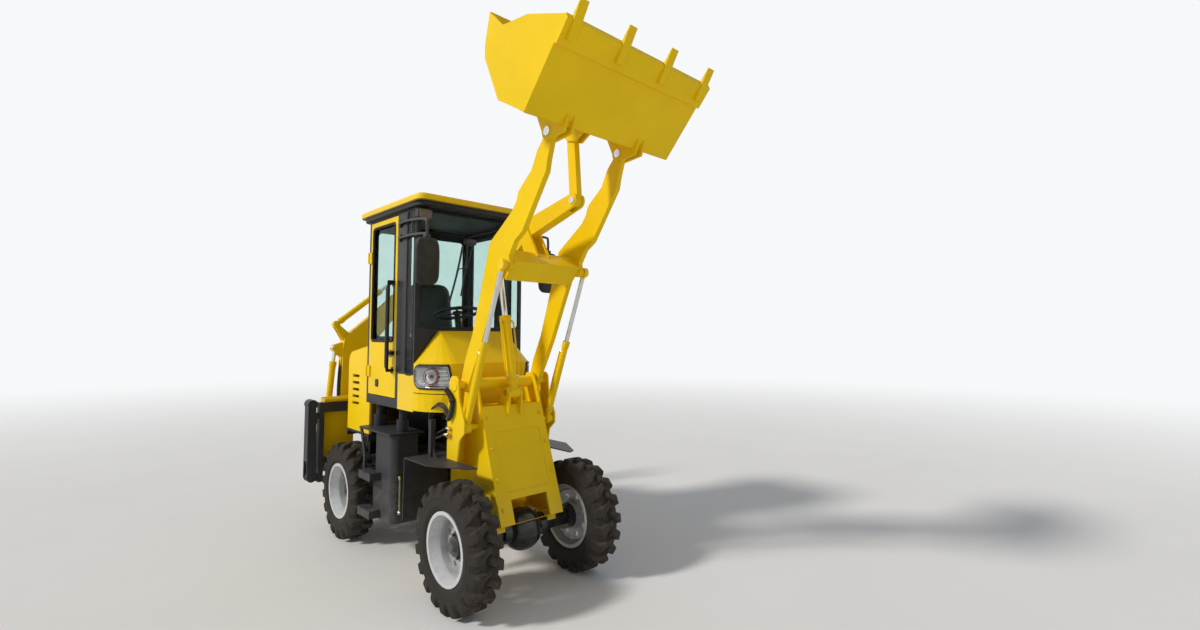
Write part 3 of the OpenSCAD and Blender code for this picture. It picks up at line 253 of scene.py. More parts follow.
dust = (0.42, 0.36, 0.28)
signal_yellow = (0.93, 0.62, 0.003)
inner_black = (0.014, 0.014, 0.015)
yellow = enamel("yellow_enamel", signal_yellow, dust)
coat(yellow, "rear_hood", "front_frame", "loader_arms", "lift_barrels",
     "loader_bucket", "bell_crank", "bucket_link", "tilt_barrel", "carriage", "swing_post", "boom", "boom_barrel",
     "dipper", "dipper_barrel", "digging_bucket", "bucket_barrel", "bucket_rocker", "rocker_link")

# ---- Dark grey paint
# The frame, tanks, steps, guards and stabilisers are one grey-black chassis enamel, dull and dustier near the ground.
chassis_grey = enamel("chassis_enamel", (0.036, 0.038, 0.042), (0.24, 0.21, 0.17), 0.44, 1.0, 0.08)
coat(chassis_grey, "rear_frame", "side_tanks", "front_mudguards", "backhoe_frame", "stabiliser_right",
     "stabiliser_left", "stay_barrel_right", "stay_barrel_left")

# ---- Cab posts
# Folded steel posts and skirts of the cab in satin black, with a faint blue cast where they catch the light.
# The low panel behind each end of the nose is yellow, and so is the outer skin of each door, black inside.
def side_panel(wire):
    """1 on the outer skin of the cab between the door's foot and the nose, below the quarter window."""
    x, y, z = wire.places()
    outer = y.maths("ABSOLUTE", y).over(cab_side - 0.006, cab_side - 0.004)
    return outer * x.over(cab_nose - 0.267, cab_nose - 0.265) * z.over(1.168, 1.170) * (1 - z.over(1.448, 1.450))


def door_inside(wire):
    """1 on everything of a door that lies more than 6 mm behind its outer skin."""
    y = wire.places()[1]
    return 1 - y.maths("ABSOLUTE", y).over(cab_side - 0.008, cab_side - 0.006)


def door_handle(wire):
    """1 on the grab rail, which stands off the door's skin near its front edge."""
    x, y, z = wire.places()
    beside = wire.maths("ABSOLUTE", x - (front - 1.044))
    return (1 - beside.over(0.030, 0.032)) * y.maths("ABSOLUTE", y).over(cab_side + 0.002, cab_side + 0.004)


post_black = enamel("cab_black", (0.012, 0.012, 0.013), (0.16, 0.14, 0.12), 0.32, 0.8, 0.10, 0.30,
                    [(side_panel, signal_yellow)])
coat(post_black, "cab_shell")
door_yellow = enamel("door_enamel", signal_yellow, dust, masks=[(door_inside, inner_black), (door_handle, inner_black)])
coat(door_yellow, "door_right", "door_left")

# ---- Axles and engine
# Cast housings under thick gloss black, wet-looking on the round of the differential, with dust in the hollows.
axle_black = enamel("axle_black", (0.010, 0.010, 0.011), (0.16, 0.14, 0.11), 0.20, 0.7, 0.6)
coat(axle_black, "front_axle", "rear_axle", "engine_block")

# ---- Chromed rods and pins
# Hard chrome on ground steel: nearly a mirror, with the finest grinding marks running round each rod. The welded eyes
# of the lift rods are painted yellow.
bright_chrome, shader, wire = material("hard_chrome")
lines = wire.noise(900, 2)
x, y, z = wire.places()
from_eye = [x - (front + 0.249), z - 2.202]
eye = 1 - wire.maths("SQRT", from_eye[0] * from_eye[0] + from_eye[1] * from_eye[1]).over(0.046, 0.048)
plating = wire.noise(8).over(0.2, 0.8).mix((0.62, 0.63, 0.65), (0.78, 0.79, 0.81))
wear(bright_chrome, shader, eye.mix(plating, signal_yellow), wire.noise(60, 3) * 0.12 + eye * 0.25 + 0.10,
     lines, 0.00006, 0.001)
wire.tree.links.new((1 - eye).socket, shader.inputs["Metallic"])
coat(bright_chrome, "lift_rods", "bucket_pins", "crank_pin", "link_pin", "tilt_pin", "tilt_rod", "boom_rod",
     "dipper_rod", "bucket_rod", "stay_rod_right", "stay_rod_left")

# ---- Rims
# Pressed and welded wheel discs in silver-white lacquer with road film in the dish; the inner barrel, on the side
# towards the machine, is darkened with painted shade.
silver_rim, shader, wire = material("silver_lacquer", Metallic=0.15, Coat_Weight=0.15, Coat_Roughness=0.3)
film = wire.noise(18, 5).over(0.35, 0.8)
x, y, z = wire.places()
height = z - 0.405
ahead_of = [x - place for place in (front, front - 1.85)]
near = wire.maths("MINIMUM", *(reach.maths("ABSOLUTE", reach) for reach in ahead_of))
radius = wire.maths("SQRT", near * near + height * height)
hub = 1 - radius.over(0.088, 0.096)
# Painted shade: the rim darkens towards its inboard side, where the deep barrel lies in shade, with road film noise
# laid over it.
depth = y.maths("ABSOLUTE", y).over(0.44, 0.56)
painted_shade_and_film = (1 - depth) * 0.50 + film * 0.25
lacquer_with_painted_shade = painted_shade_and_film.mix((0.62, 0.63, 0.64), (0.16, 0.15, 0.14))
wear(silver_rim, shader, hub.mix(lacquer_with_painted_shade, film.mix((0.045, 0.047, 0.050), (0.15, 0.14, 0.12))),
     film * 0.25 + 0.32, wire.noise(260, 2), 0.0004, 0.003)
coat(silver_rim, "rim_front_right", "rim_front_left", "rim_rear_right", "rim_rear_left")

# ---- Glass
# Tempered panes with a green body tint, clean, with only a breath of dust along their lower edges.
tinted, shader, wire = material("green_glass", Transmission_Weight=1.0, IOR=1.12, Roughness=0.0, Specular_IOR_Level=0.9)
dim = wire.noise(5, 4).over(0.3, 0.8)
wear(tinted, shader, dim.mix((0.70, 0.84, 0.81), (0.76, 0.89, 0.86)), dim * 0.015)
coat(tinted, "cab_glass", "door_right_glass", "door_left_glass")


# ---- Tyres
# Four cross-ply lug tyres: thick rubber bars in two rows that meet in a broken chevron, wrapped down over the shoulder,
# moulded in one with the casing. The tread is scuffed brown-grey by dust and the sidewalls are blacker.
def curve(knots, count):
    """A Catmull-Rom curve through the knots, even in its knots' own spacing: returns count points along it."""
    knots = np.asarray(knots, float)
    ends = np.vstack([2 * knots[0] - knots[1], knots, 2 * knots[-1] - knots[-2]])
    along = np.linspace(0, len(knots) - 1, count)
    span = np.minimum(along.astype(int), len(knots) - 2)
    part = (along - span)[:, None]
    a, b, c, d = (ends[span + step] for step in range(4))
    square = (2 * a - 5 * b + 4 * c - d) * part ** 2
    cube = (3 * b - a - 3 * c + d) * part ** 3
    return 0.5 * (2 * b + (c - a) * part + square + cube)


def grid(points, round_rows=False, round_columns=False):
    """The points of a rows by columns grid as vertices, with one quad between each four neighbours."""
    rows, columns = points.shape[:2]
    index = np.arange(rows * columns).reshape(rows, columns)
    if round_rows:
        index = np.vstack([index, index[:1]])
    if round_columns:
        index = np.hstack([index, index[:, :1]])
    quads = np.stack([index[:-1, :-1], index[1:, :-1], index[1:, 1:], index[:-1, 1:]], -1).reshape(-1, 4)
    return points.reshape(-1, 3), quads


def piece(name, parts, body, finish, crease=40):
    """Joins vertex and face arrays into one mesh, turns its faces outward, and rides it on the body."""
    mesh = bpy.data.meshes.new(name)
    starts = np.cumsum([0] + [len(points) for points, _ in parts])
    faces = [face for (_, quads), start in zip(parts, starts) for face in (quads + start).tolist()]
    mesh.from_pydata(np.vstack([points for points, _ in parts]), [], faces)
    shape = bmesh.new()
    shape.from_mesh(mesh)
    bmesh.ops.remove_doubles(shape, verts=shape.verts, dist=1e-6)
    bmesh.ops.recalc_face_normals(shape, faces=shape.faces)
    shape.to_mesh(mesh)
    shape.free()
    mesh.polygons.foreach_set("use_smooth", np.ones(len(mesh.polygons), bool))
    mesh.set_sharp_from_angle(angle=math.radians(crease))
    mesh.materials.append(finish)
    made = bpy.data.objects.new(name, mesh)
    bpy.context.scene.collection.objects.link(made)
    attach(made, body)
    return made


tread_rubber, shader, wire = material("tyre_rubber", Specular_IOR_Level=0.25)
dusty = wire.noise(22, 5).over(0.3, 0.75)
scuffed = wire.noise(90, 4).over(0.35, 0.7)
sideways = wire.faces()[1].maths("ABSOLUTE", wire.faces()[1])
film = (1 - sideways.over(0.35, 0.9) * 0.65) * (dusty * 0.55 + scuffed * 0.25 + 0.12)
wear(tread_rubber, shader, film.mix((0.014, 0.013, 0.012), (0.088, 0.070, 0.052)), dusty * 0.15 + 0.72,
     wire.noise(320, 3) + wire.noise(60, 3) * 1.5, 0.0008)

lugs_round = 19
lug_pitch = 2 * math.pi / lugs_round
casing_knots = [(0.379, 0.0), (0.379, 0.030), (0.378, 0.052), (0.372, 0.070), (0.360, 0.083), (0.345, 0.092),
                (0.327, 0.098), (0.318, 0.1035), (0.309, 0.1015), (0.290, 0.1035), (0.268, 0.1035), (0.250, 0.098),
                (0.238, 0.089), (0.2322, 0.082), (0.2165, 0.0780)]
lug_knots = [(0.4045, 0.0), (0.4045, 0.034), (0.4045, 0.064), (0.402, 0.084), (0.390, 0.0945), (0.364, 0.0995),
             (0.336, 0.1015), *casing_knots[7:]]
half_casing = curve(casing_knots, 40)
half_lug = curve(lug_knots, 40)
casing = np.vstack([half_casing[::-1] * (1, -1), half_casing[1:]])
lugged = np.vstack([half_lug[::-1] * (1, -1), half_lug[1:]])
around = np.linspace(0, 2 * math.pi, lugs_round * 24, endpoint=False)[:, None]
out = np.abs(lugged[None, :, 1])


def rise(value, low, high):
    """0 below low, 1 above high, smooth between."""
    part = np.clip((value - low) / (high - low), 0, 1)
    return part * part * (3 - 2 * part)


def bars(side, shift):
    """How far the bars of one row stand up: 1 inside a bar's slanted, slightly wider-outward band, 0 between bars."""
    middle = 0.62 - 4.1 * out + 12 * (out - 0.05) ** 2
    wide = 0.165 + 0.75 * out
    place = (around / lug_pitch + shift - middle + 0.5) % 1 - 0.5
    inner = rise(lugged[None, :, 1] * side, -0.018, -0.008)
    return (1 - rise(np.abs(place), wide, wide + 0.07)) * inner


standing = np.maximum(bars(1, 0.0), bars(-1, 0.5))
profile = casing[None] + (lugged - casing)[None] * standing[..., None]
for end, place in (("front", front), ("rear", front - 1.85)):
    for hand, middle in (("right", -0.5), ("left", 0.5)):
        slant = -1 if hand == "right" else 1
        ring = np.stack([place + profile[..., 0] * np.cos(around), middle + slant * profile[..., 1],
                         0.405 + profile[..., 0] * np.sin(around)], -1)
        made = piece(f"lug_tyre_{end}_{hand}", [grid(ring, round_rows=True)], f"wheel_{end}_{hand}",
                     tread_rubber, 55)
        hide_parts(f"tyre_{end}_{hand}")


# ---- Roof
# One pressed yellow skin with rolled edges, whose downward faces are painted near-black as painted shade under the
# overhang, over a black moulded lining, its own piece, that shows under the overhang.
roof_skin, shader, wire = material("roof_enamel", Specular_IOR_Level=0.24, Coat_Weight=0.06, Coat_Roughness=0.18)
cloud = wire.noise(1.7, 4).over(0.25, 0.75)
tone = cloud.mix([channel * 0.92 for channel in signal_yellow], [min(1, channel * 1.05) for channel in signal_yellow])
# Painted shade: every face of the skin that looks down is near-black, whatever part of the skin it belongs to.
underside_shade_mask = wire.faces()[2].over(-0.9, -0.4)
tone_with_painted_underside_shade = underside_shade_mask.mix((0.016, 0.016, 0.017), tone)
wear(roof_skin, shader, (wire.noise(5, 5).over(0.5, 0.9) * 0.18).mix(tone_with_painted_underside_shade, dust), wire.noise(20, 3) * 0.12 + 0.32,
     wire.noise(420, 2), 0.00035, 0.006)
coat(roof_skin, "cab_roof")


def rounded_box(centre, half, power=5.0, rows=18, columns=36):
    """A superellipsoid: each axis is a signed power of the sphere's, so that a high power nears a box."""
    up = np.linspace(-math.pi / 2, math.pi / 2, rows)[:, None]
    across = np.linspace(0, 2 * math.pi, columns, endpoint=False)[None, :]

    def bent(value):
        return np.sign(value) * np.abs(value) ** (2 / power)

    flat = bent(np.cos(up))
    ball = np.stack([flat * bent(np.cos(across)), flat * bent(np.sin(across)), bent(np.sin(up)) + across * 0], -1)
    return grid(ball * np.array(half) + np.array(centre), round_columns=True)


lining_black, shader, wire = material("moulded_black", Specular_IOR_Level=0.35)
wear(lining_black, shader, wire.noise(9, 4).over(0.3, 0.8).mix((0.012, 0.012, 0.013), (0.030, 0.030, 0.031)),
     wire.noise(40, 3) * 0.15 + 0.5, wire.noise(700, 2), 0.0003, 0.002)
cab_top = 2.74
piece("roof_lining", [rounded_box((cab_back + 0.4325, 0, cab_top - 0.012),
                                  (0.4335 + 0.115, cab_side + 0.03, 0.024), 12)],
      "chassis", lining_black)

# ---- Rubber seals
# Black extruded rubber pressed on the edge of each opening: round both door panes, the quarter panes, the windscreen
# and the rear window.
rubber, shader, wire = material("black_rubber", Specular_IOR_Level=0.3)
wear(rubber, shader, wire.noise(12, 4).over(0.3, 0.8).mix((0.008, 0.008, 0.008), (0.028, 0.027, 0.026)),
     wire.noise(50, 3) * 0.15 + 0.55, wire.noise(500, 2), 0.0003)


def seal(low, high, axis, radius=0.012, corner=0.03):
    """A tube of the given radius round a rectangle with round corners, across the axis (0 is X, 1 is Y)."""
    along = 1 - axis
    centre = (np.array(low) + high) / 2
    half = (np.array(high) - low) / 2
    turn = np.linspace(0, 2 * math.pi, 96, endpoint=False)
    quarter = np.floor(turn / (math.pi / 2))
    sign_u = np.where((quarter == 0) | (quarter == 3), 1, -1)
    sign_v = np.where(quarter < 2, 1, -1)
    u = sign_u * (half[along] - corner) + corner * np.cos(turn)
    v = sign_v * (half[2] - corner) + corner * np.sin(turn)
    sweep = np.linspace(0, 2 * math.pi, 10, endpoint=False)
    swell = radius * np.cos(sweep)[None, :]
    points = np.zeros((96, 10, 3))
    points[..., along] = centre[along] + u[:, None] + np.cos(turn)[:, None] * swell
    points[..., 2] = centre[2] + v[:, None] + np.sin(turn)[:, None] * swell
    points[..., axis] = centre[axis] + radius * np.sin(sweep)[None, :]
    return grid(points, True, True)


for hand, sign in (("right", -1), ("left", 1)):
    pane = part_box(f"door_{hand}_glass")
    flat = sign * (cab_side - 0.004)
    piece(f"door_seal_{hand}", [seal((pane[0].x, flat, pane[0].z), (pane[1].x, flat, pane[1].z), 1)],
          f"door_{hand}", rubber)
window = []
for sign in (-1, 1):
    flat = sign * (cab_side - 0.006)
    window.append(seal((cab_back + 0.717, flat, 1.45), (cab_nose - 0.028, flat, 2.69), 1, 0.010))
window.append(seal((cab_nose - 0.006, -cab_side + 0.028, 1.80), (cab_nose - 0.006, cab_side - 0.028, 2.69), 0,
                   0.010, 0.04))
window.append(seal((cab_back + 0.006, -cab_side + 0.06, 1.72), (cab_back + 0.006, cab_side - 0.06, 2.64), 0,
                   0.014, 0.05))
piece("window_seals", window, "chassis", rubber)


# ---- Door furniture
# A grab bar of bent black tube down the front edge of each door, a latch lever on its base, and a black cover near
# the foot of the panel.
def tube(knots, radius, sides=12, count=60):
    """A round section swept along the smooth curve through the knots, framed by the normal of the curve's own plane."""
    path = curve(knots, count)
    ahead = np.gradient(path, axis=0)
    ahead /= np.linalg.norm(ahead, axis=1)[:, None]
    flat = np.linalg.svd(path - path.mean(0))[2][2]
    across = np.cross(ahead, flat)
    across /= np.linalg.norm(across, axis=1)[:, None]
    upright = np.cross(ahead, across)
    turn = np.linspace(0, 2 * math.pi, sides, endpoint=False)[None, :, None]
    width = np.broadcast_to(np.asarray(radius, float), (count,))[:, None, None]
    ring = path[:, None] + width * (across[:, None] * np.cos(turn) + upright[:, None] * np.sin(turn))
    closed = np.concatenate([np.repeat(path[:1, None], sides, 1), ring, np.repeat(path[-1:, None], sides, 1)])
    return grid(closed, round_columns=True)


handle_black, shader, wire = material("handle_black", Specular_IOR_Level=0.5)
wear(handle_black, shader, wire.noise(10, 4).over(0.3, 0.8).mix((0.010, 0.010, 0.011), (0.022, 0.022, 0.023)),
     wire.noise(40, 3) * 0.12 + 0.32, wire.noise(600, 2), 0.0003)
door_edge = cab_back + 0.027 + 0.525
bar_low, bar_high, latch_height = 1.470, 2.150, 1.605
for hand, sign in (("right", -1), ("left", 1)):
    x = door_edge - 0.060
    skin = sign * cab_side
    bar = [(x, skin + sign * off, z) for off, z in (
        (0.004, bar_low), (0.030, 1.472), (0.050, 1.500), (0.052, 1.56), (0.052, 1.70), (0.052, 1.90), (0.052, 2.06),
        (0.050, 2.12), (0.030, 2.148), (0.004, bar_high))]
    feet = [rounded_box((x, skin + sign * 0.003, foot), (0.018, 0.004, 0.026), 4, 10, 20)
            for foot in (bar_low, bar_high)]
    latch = [rounded_box((x - 0.045, skin + sign * 0.010, latch_height), (0.062, 0.011, 0.022), 4, 12, 24),
             rounded_box((x - 0.015, skin + sign * 0.026, latch_height), (0.052, 0.009, 0.012), 3, 12, 24)]
    cover = [rounded_box((cab_back + 0.210, skin + sign * 0.002, 1.355), (0.028, 0.006, 0.032), 5, 10, 24)]
    piece(f"door_handle_{hand}", [tube(bar, 0.0105)] + feet + latch + cover, f"door_{hand}",
          handle_black)


# ---- Mirrors
# A moulded black shell, crowned at the front and flat at its glass, hangs from the bent end of a bracket of two tubes.
bracket_root = door_edge + 0.045
bracket_reach = 0.56
for hand, sign in (("right", -1), ("left", 1)):
    start = np.array((bracket_root, sign * (cab_side + 0.011), 0))
    forward = np.array((math.cos(math.radians(5)), sign * math.sin(math.radians(5)), 0))
    end = start + bracket_reach * forward
    tubes = [tube([start + (0, 0, 2.612), start + 0.15 * forward + (0, 0, 2.612),
                   start + 0.40 * forward + (0, 0, 2.588), start + 0.53 * forward + (0, 0, 2.566),
                   end + (0, 0, 2.535), end + (0, 0, 2.40)], 0.0105),
             tube([start + (0, 0, 2.500), start + 0.28 * forward + (0, 0, 2.490), end + (0, 0, 2.462)], 0.0105,
                  count=20),
             tube([start + 0.28 * forward + (0, 0, 2.49), start + 0.28 * forward + (0, 0, 2.55),
                   start + 0.28 * forward + (0, 0, 2.602)], 0.008, count=12)]
    feet = [rounded_box(start + (0, -sign * 0.004, height), (0.020, 0.008, 0.028), 5, 10, 20)
            for height in (2.500, 2.612)]
    clamp = [rounded_box(end + (0, 0, 2.435), (0.022, 0.022, 0.020), 4, 10, 20)]
    piece(f"mirror_bracket_{hand}", tubes + feet + clamp, "chassis", handle_black)
    shell = piece(f"mirror_shell_{hand}", [rounded_box(end + (0.004, 0, 2.265), (0.034, 0.090, 0.166), 4.2, 26, 48)],
                  "chassis", lining_black)
    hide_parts("mirrors")
mirror_silver, shader, wire = material("mirror_silver", Metallic=1.0)
wear(mirror_silver, shader, wire.noise(6).over(0.3, 0.8).mix((0.80, 0.82, 0.83), (0.86, 0.87, 0.88)),
     wire.noise(30, 4) * 0.05 + 0.02)
glasses = [rounded_box((bracket_root + bracket_reach - 0.030, sign * (cab_side + 0.011 + 0.0488), 2.265),
                       (0.004, 0.076, 0.150), 6, 12, 36)
           for sign in (-1, 1)]
piece("mirror_glasses", glasses, "chassis", mirror_silver)

# ---- Work lamps
# Oblong black lamps on short feet under the front of the roof, each a moulded case round a brown-tinted fluted lens.
smoked, shader, wire = material("smoked_lens", Transmission_Weight=0.35, IOR=1.45, Coat_Weight=0.6, Coat_Roughness=0.05)
ribs = wire.maths("SINE", wire.places()[1] * 900)
wear(smoked, shader, wire.noise(20).over(0.2, 0.8).mix((0.14, 0.10, 0.075), (0.30, 0.22, 0.16)),
     wire.noise(25, 3) * 0.04 + 0.06, ribs * 0.5, 0.0006)
lamp_places = [(cab_nose + 0.026, sign * 0.44, 2.652) for sign in (-1, 1)]
piece("work_lamps", [shape for x, y, z in lamp_places for shape in (
    rounded_box((x, y, z), (0.030, 0.056, 0.038), 5, 14, 28),
    rounded_box((x + 0.026, y, z), (0.008, 0.058, 0.040), 7, 12, 28),
    tube([(x - 0.004, y, z + 0.034), (x - 0.006, y, z + 0.055), (x - 0.008, y, z + 0.090)], 0.009, count=8))],
      "chassis", handle_black)
piece("work_lamp_lenses", [rounded_box((x + 0.0325, y, z), (0.004, 0.050, 0.032), 8, 10, 28)
                           for x, y, z in lamp_places], "chassis", smoked)

# ---- Wiper
# A black motor case over the windscreen carries two arms that hold one long blade of rubber in a steel strip.
pane_x = cab_nose + 0.012
piece("wiper", [
    rounded_box((pane_x + 0.006, -0.035, 2.487), (0.022, 0.052, 0.026), 4, 12, 24),
    tube([(pane_x + 0.018, -0.062, 2.484), (pane_x + 0.016, -0.068, 2.39), (pane_x + 0.012, -0.075, 2.297)],
         0.007, 8, 16),
    tube([(pane_x + 0.018, -0.006, 2.484), (pane_x + 0.016, -0.034, 2.39), (pane_x + 0.012, -0.064, 2.297)],
         0.006, 8, 16),
    rounded_box((pane_x + 0.010, -0.070, 2.290), (0.010, 0.016, 0.018), 3, 10, 20),
    tube([(pane_x + 0.002, -0.098, 2.450), (pane_x + 0.004, -0.148, 2.22), (pane_x + 0.002, -0.205, 2.005)],
         0.008, 8, 24),
    tube([(pane_x + 0.012, -0.070, 2.282), (pane_x + 0.014, -0.094, 2.170), (pane_x + 0.008, -0.112, 2.052)],
         0.006, 8, 16),
    tube([(pane_x + 0.010, -0.072, 2.287), (pane_x + 0.008, -0.110, 2.270), (pane_x + 0.004, -0.138, 2.262)],
         0.005, 8, 12),
], "chassis", handle_black)

# ---- Nose
# A moulded yellow cover with a flat front, soft shoulders and a joint line under the lamps, bolted to the cab's wall.
coat(yellow, "nose")
corner = curve([(0.0, 0.480), (0.07, 0.476), (0.13, 0.456), (0.19, 0.422), (0.245, 0.376), (0.280, 0.325),
                (0.292, 0.290)], 120)
lamp_turn = math.radians(37.6)
corner_u = (corner[:, 0] - 0.020) * math.cos(lamp_turn) + (0.489 - corner[:, 1]) * math.sin(lamp_turn)
slope = np.gradient(corner, axis=0)
corner_out = np.stack([-slope[:, 1], slope[:, 0]], -1) / np.linalg.norm(slope, axis=1)[:, None]


def turned(profile, centre, axis, sides=32):
    """A profile of (radius, distance) pairs revolved about the axis through the centre; distance is along it."""
    axis = np.array(axis, float) / np.linalg.norm(axis)
    first = np.cross(axis, (0.0, 0.0, 1.0) if abs(axis[2]) < 0.9 else (1.0, 0.0, 0.0))
    first /= np.linalg.norm(first)
    second = np.cross(axis, first)
    turn = np.linspace(0, 2 * math.pi, sides, endpoint=False)[None, :, None]
    radius, reach = np.array(profile, float).T
    ring = radius[:, None, None] * (first * np.cos(turn) + second * np.sin(turn)) + reach[:, None, None] * axis
    return grid(ring + np.array(centre, float), round_columns=True)


def on_corner(u, z, out, sign):
    """The point of the nose's corner u along its turned side view, at height z, and out from the skin."""
    place, normal = ([np.interp(u, corner_u, values[:, axis]) for axis in (0, 1)] for values in (corner, corner_out))
    x = cab_nose + place[0] + out * normal[0]
    y = sign * (place[1] + out * normal[1])
    return np.stack(np.broadcast_arrays(x, y, z), -1)


for hand, sign in (("right", -1), ("left", 1)):
    joint = np.linspace(corner_u[0] + 0.004, 0.335, 12)
    piece(f"nose_joint_{hand}", [tube(on_corner(joint, 1.322, -0.0008, sign), 0.0028, 8, 60)], "chassis",
          rubber)

# ---- Headlamps
# Each wraps round the nose's corner: a black housing with a bright bezel, a moulded reflector whose bowl stands in a
# red ring, four chromed bars beside it, and a clear cover glued into the rim.
lamp_low, lamp_high = 1.352, 1.533
lamp_middle = np.array((0.160, 1.441))
bowl_u, bowl_z = 0.151, 1.446


def lamp_edge(inset, count=120):
    """The lamp's side view as a ring of (u, z): straight edges joined by corner arcs, all moved in by inset."""
    corners = np.array([(0.0, lamp_low), (0.330, lamp_low), (0.292, lamp_high), (0.0, lamp_high)])
    rounds = (0.075, 0.026, 0.026, 0.060)
    ring = []
    for index, radius in enumerate(rounds):
        before, after = (corners[index] - corners[index - 1], corners[(index + 1) % 4] - corners[index])
        normals = [np.array((-edge[1], edge[0])) / np.linalg.norm(edge) for edge in (before, after)]
        centre = corners[index] + np.linalg.solve(np.array(normals), (radius, radius))
        first, last = (math.atan2(-normal[1], -normal[0]) for normal in normals)
        sweep = first + np.linspace(0, (last - first) % (2 * math.pi), 16)
        ring.append(centre + (radius - inset) * np.stack([np.cos(sweep), np.sin(sweep)], -1))
    ring = np.vstack(ring + [ring[0][:1]])
    length = np.concatenate([[0], np.cumsum(np.linalg.norm(np.diff(ring, axis=0), axis=1))])
    even = np.linspace(0, length[-1], count, endpoint=False)
    return np.stack([np.interp(even, length, ring[:, axis]) for axis in (0, 1)], -1)


def lamp_skin(loops, sign):
    """A skin through rings of the lamp's outline: each loop is (share of the way out from the middle, inset, out)."""
    rings = []
    for share, inset, out in loops:
        flat = lamp_middle + share * (lamp_edge(inset) - lamp_middle)
        rings.append(on_corner(flat[:, 0], flat[:, 1], out, sign))
    return grid(np.array(rings), round_columns=True)


lens, shader, wire = material("lens_glass", Transmission_Weight=1.0, IOR=1.35)
wear(lens, shader, wire.noise(9).over(0.2, 0.8).mix((0.90, 0.93, 0.94), (0.96, 0.97, 0.98)), wire.noise(25, 3) * 0.04)
reflector, shader, wire = material("lamp_reflector", Metallic=1.0)
wear(reflector, shader, wire.noise(20).over(0.2, 0.8).mix((0.72, 0.73, 0.75), (0.86, 0.87, 0.88)),
     wire.noise(30, 2) * 0.06 + 0.08)
red_lens, shader, wire = material("red_lens", Transmission_Weight=0.35, IOR=1.4, Coat_Weight=0.5)
wear(red_lens, shader, wire.noise(40).over(0.3, 0.7).mix((0.42, 0.025, 0.015), (0.60, 0.05, 0.03)),
     wire.noise(30, 2) * 0.05 + 0.10)
flute, shader, wire = material("fluted_reflector", Metallic=1.0)
ribs = (wire.places()[2] * 900).maths("SINE", wire.places()[2] * 900)
wear(flute, shader, wire.noise(20).over(0.2, 0.8).mix((0.30, 0.29, 0.27), (0.50, 0.49, 0.46)),
     wire.noise(30, 2) * 0.08 + 0.16, ribs * 0.5, 0.0008)
for hand, sign in (("right", -1), ("left", 1)):
    housing = piece(f"headlamp_housing_{hand}", [lamp_skin([
        (0.0, 0, -0.075), (0.5, 0, -0.075), (1.0, 0.004, -0.075), (1.0, 0.0, -0.070), (1.0, 0.0, -0.02),
        (1.0, 0.0, 0.003), (1.0, 0.0012, 0.0065),
        (1.0, 0.004, 0.0085), (1.0, 0.008, 0.009), (1.0, 0.0115, 0.0082), (1.0, 0.0125, 0.006),
        (1.0, 0.0135, -0.030), (0.9, 0.0135, -0.036),
        (0.4, 0.0135, -0.040), (0.0, 0.0135, -0.040)], sign)], "chassis", lining_black)
    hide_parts("headlamps")
    piece(f"headlamp_bezel_{hand}", [lamp_skin([
        (1.0, 0.0128, 0.0005), (1.0, 0.0128, 0.0052), (1.0, 0.0145, 0.0066), (1.0, 0.0175, 0.0060),
        (1.0, 0.0195, 0.0030), (1.0, 0.0200, -0.0040),
        (1.0, 0.0135, -0.0040), (1.0, 0.0128, 0.0005)], sign)], "chassis", reflector)
    piece(f"headlamp_reflector_{hand}", [lamp_skin([
        (1.0, 0.0185, -0.0050), (0.96, 0.0185, -0.0120), (0.90, 0.0185, -0.0180), (0.80, 0.0185, -0.0210),
        (0.62, 0.0185, -0.0230),
        (0.3, 0.0185, -0.0235), (0.0, 0.0185, -0.0235)], sign)], "chassis", flute)
    look = on_corner(bowl_u, bowl_z, 1.0, sign) - on_corner(bowl_u, bowl_z, 0.0, sign)
    seat_of_bowl = on_corner(bowl_u, bowl_z, -0.006, sign)
    piece(f"headlamp_bowl_{hand}", [turned([(0.0005, -0.030), (0.012, -0.029), (0.026, -0.024), (0.038, -0.015),
                                            (0.046, -0.004), (0.0475, 0.000),
                                            (0.050, 0.001), (0.051, -0.004), (0.044, -0.018), (0.026, -0.030),
                                            (0.0005, -0.034)], seat_of_bowl, look, 48)],
          "chassis", reflector)
    piece(f"headlamp_ring_{hand}", [turned([(0.0508, -0.012), (0.0508, 0.0005), (0.0535, 0.0022),
                                            (0.0590, 0.0005), (0.0600, -0.012), (0.0508, -0.012)],
                                           seat_of_bowl, look, 48)], "chassis", red_lens)
    piece(f"headlamp_shield_{hand}",
          [turned([(0.0005, 0.001), (0.009, 0.000), (0.0125, -0.004), (0.0135, -0.024), (0.0005, -0.024)],
                  seat_of_bowl, look, 24)],
          "chassis", handle_black)
    bars_at = [(1.402, 0.296), (1.430, 0.290), (1.458, 0.284), (1.486, 0.278)]
    piece(f"headlamp_bars_{hand}", [
        tube(on_corner(np.linspace(0.216, end, 6), height, -0.0045, sign), 0.0024, 8, 24)
        for height, end in bars_at], "chassis", reflector)
    piece(f"headlamp_cover_{hand}", [lamp_skin([
        (0.0, 0.0145, 0.0042), (0.5, 0.0145, 0.0042), (1.0, 0.0145, 0.0042), (1.0, 0.0145, 0.0062),
        (0.97, 0.0145, 0.0072), (0.5, 0.0145, 0.0076),
        (0.0, 0.0145, 0.0076)], sign)], "chassis", lens)

# ---- Driver's seat
# Two foam pads in black grained vinyl, on a moulded pan over a plain black base.
vinyl, shader, wire = material("seat_vinyl", Specular_IOR_Level=0.4)
grain = wire.noise(620, 4, (1, 1, 1))
wear(vinyl, shader, wire.noise(7, 4).over(0.3, 0.75).mix((0.014, 0.014, 0.015), (0.040, 0.039, 0.038)),
     wire.noise(50, 3) * 0.18 + 0.42, grain * 0.7 + wire.noise(90, 3) * 0.6, 0.0006)


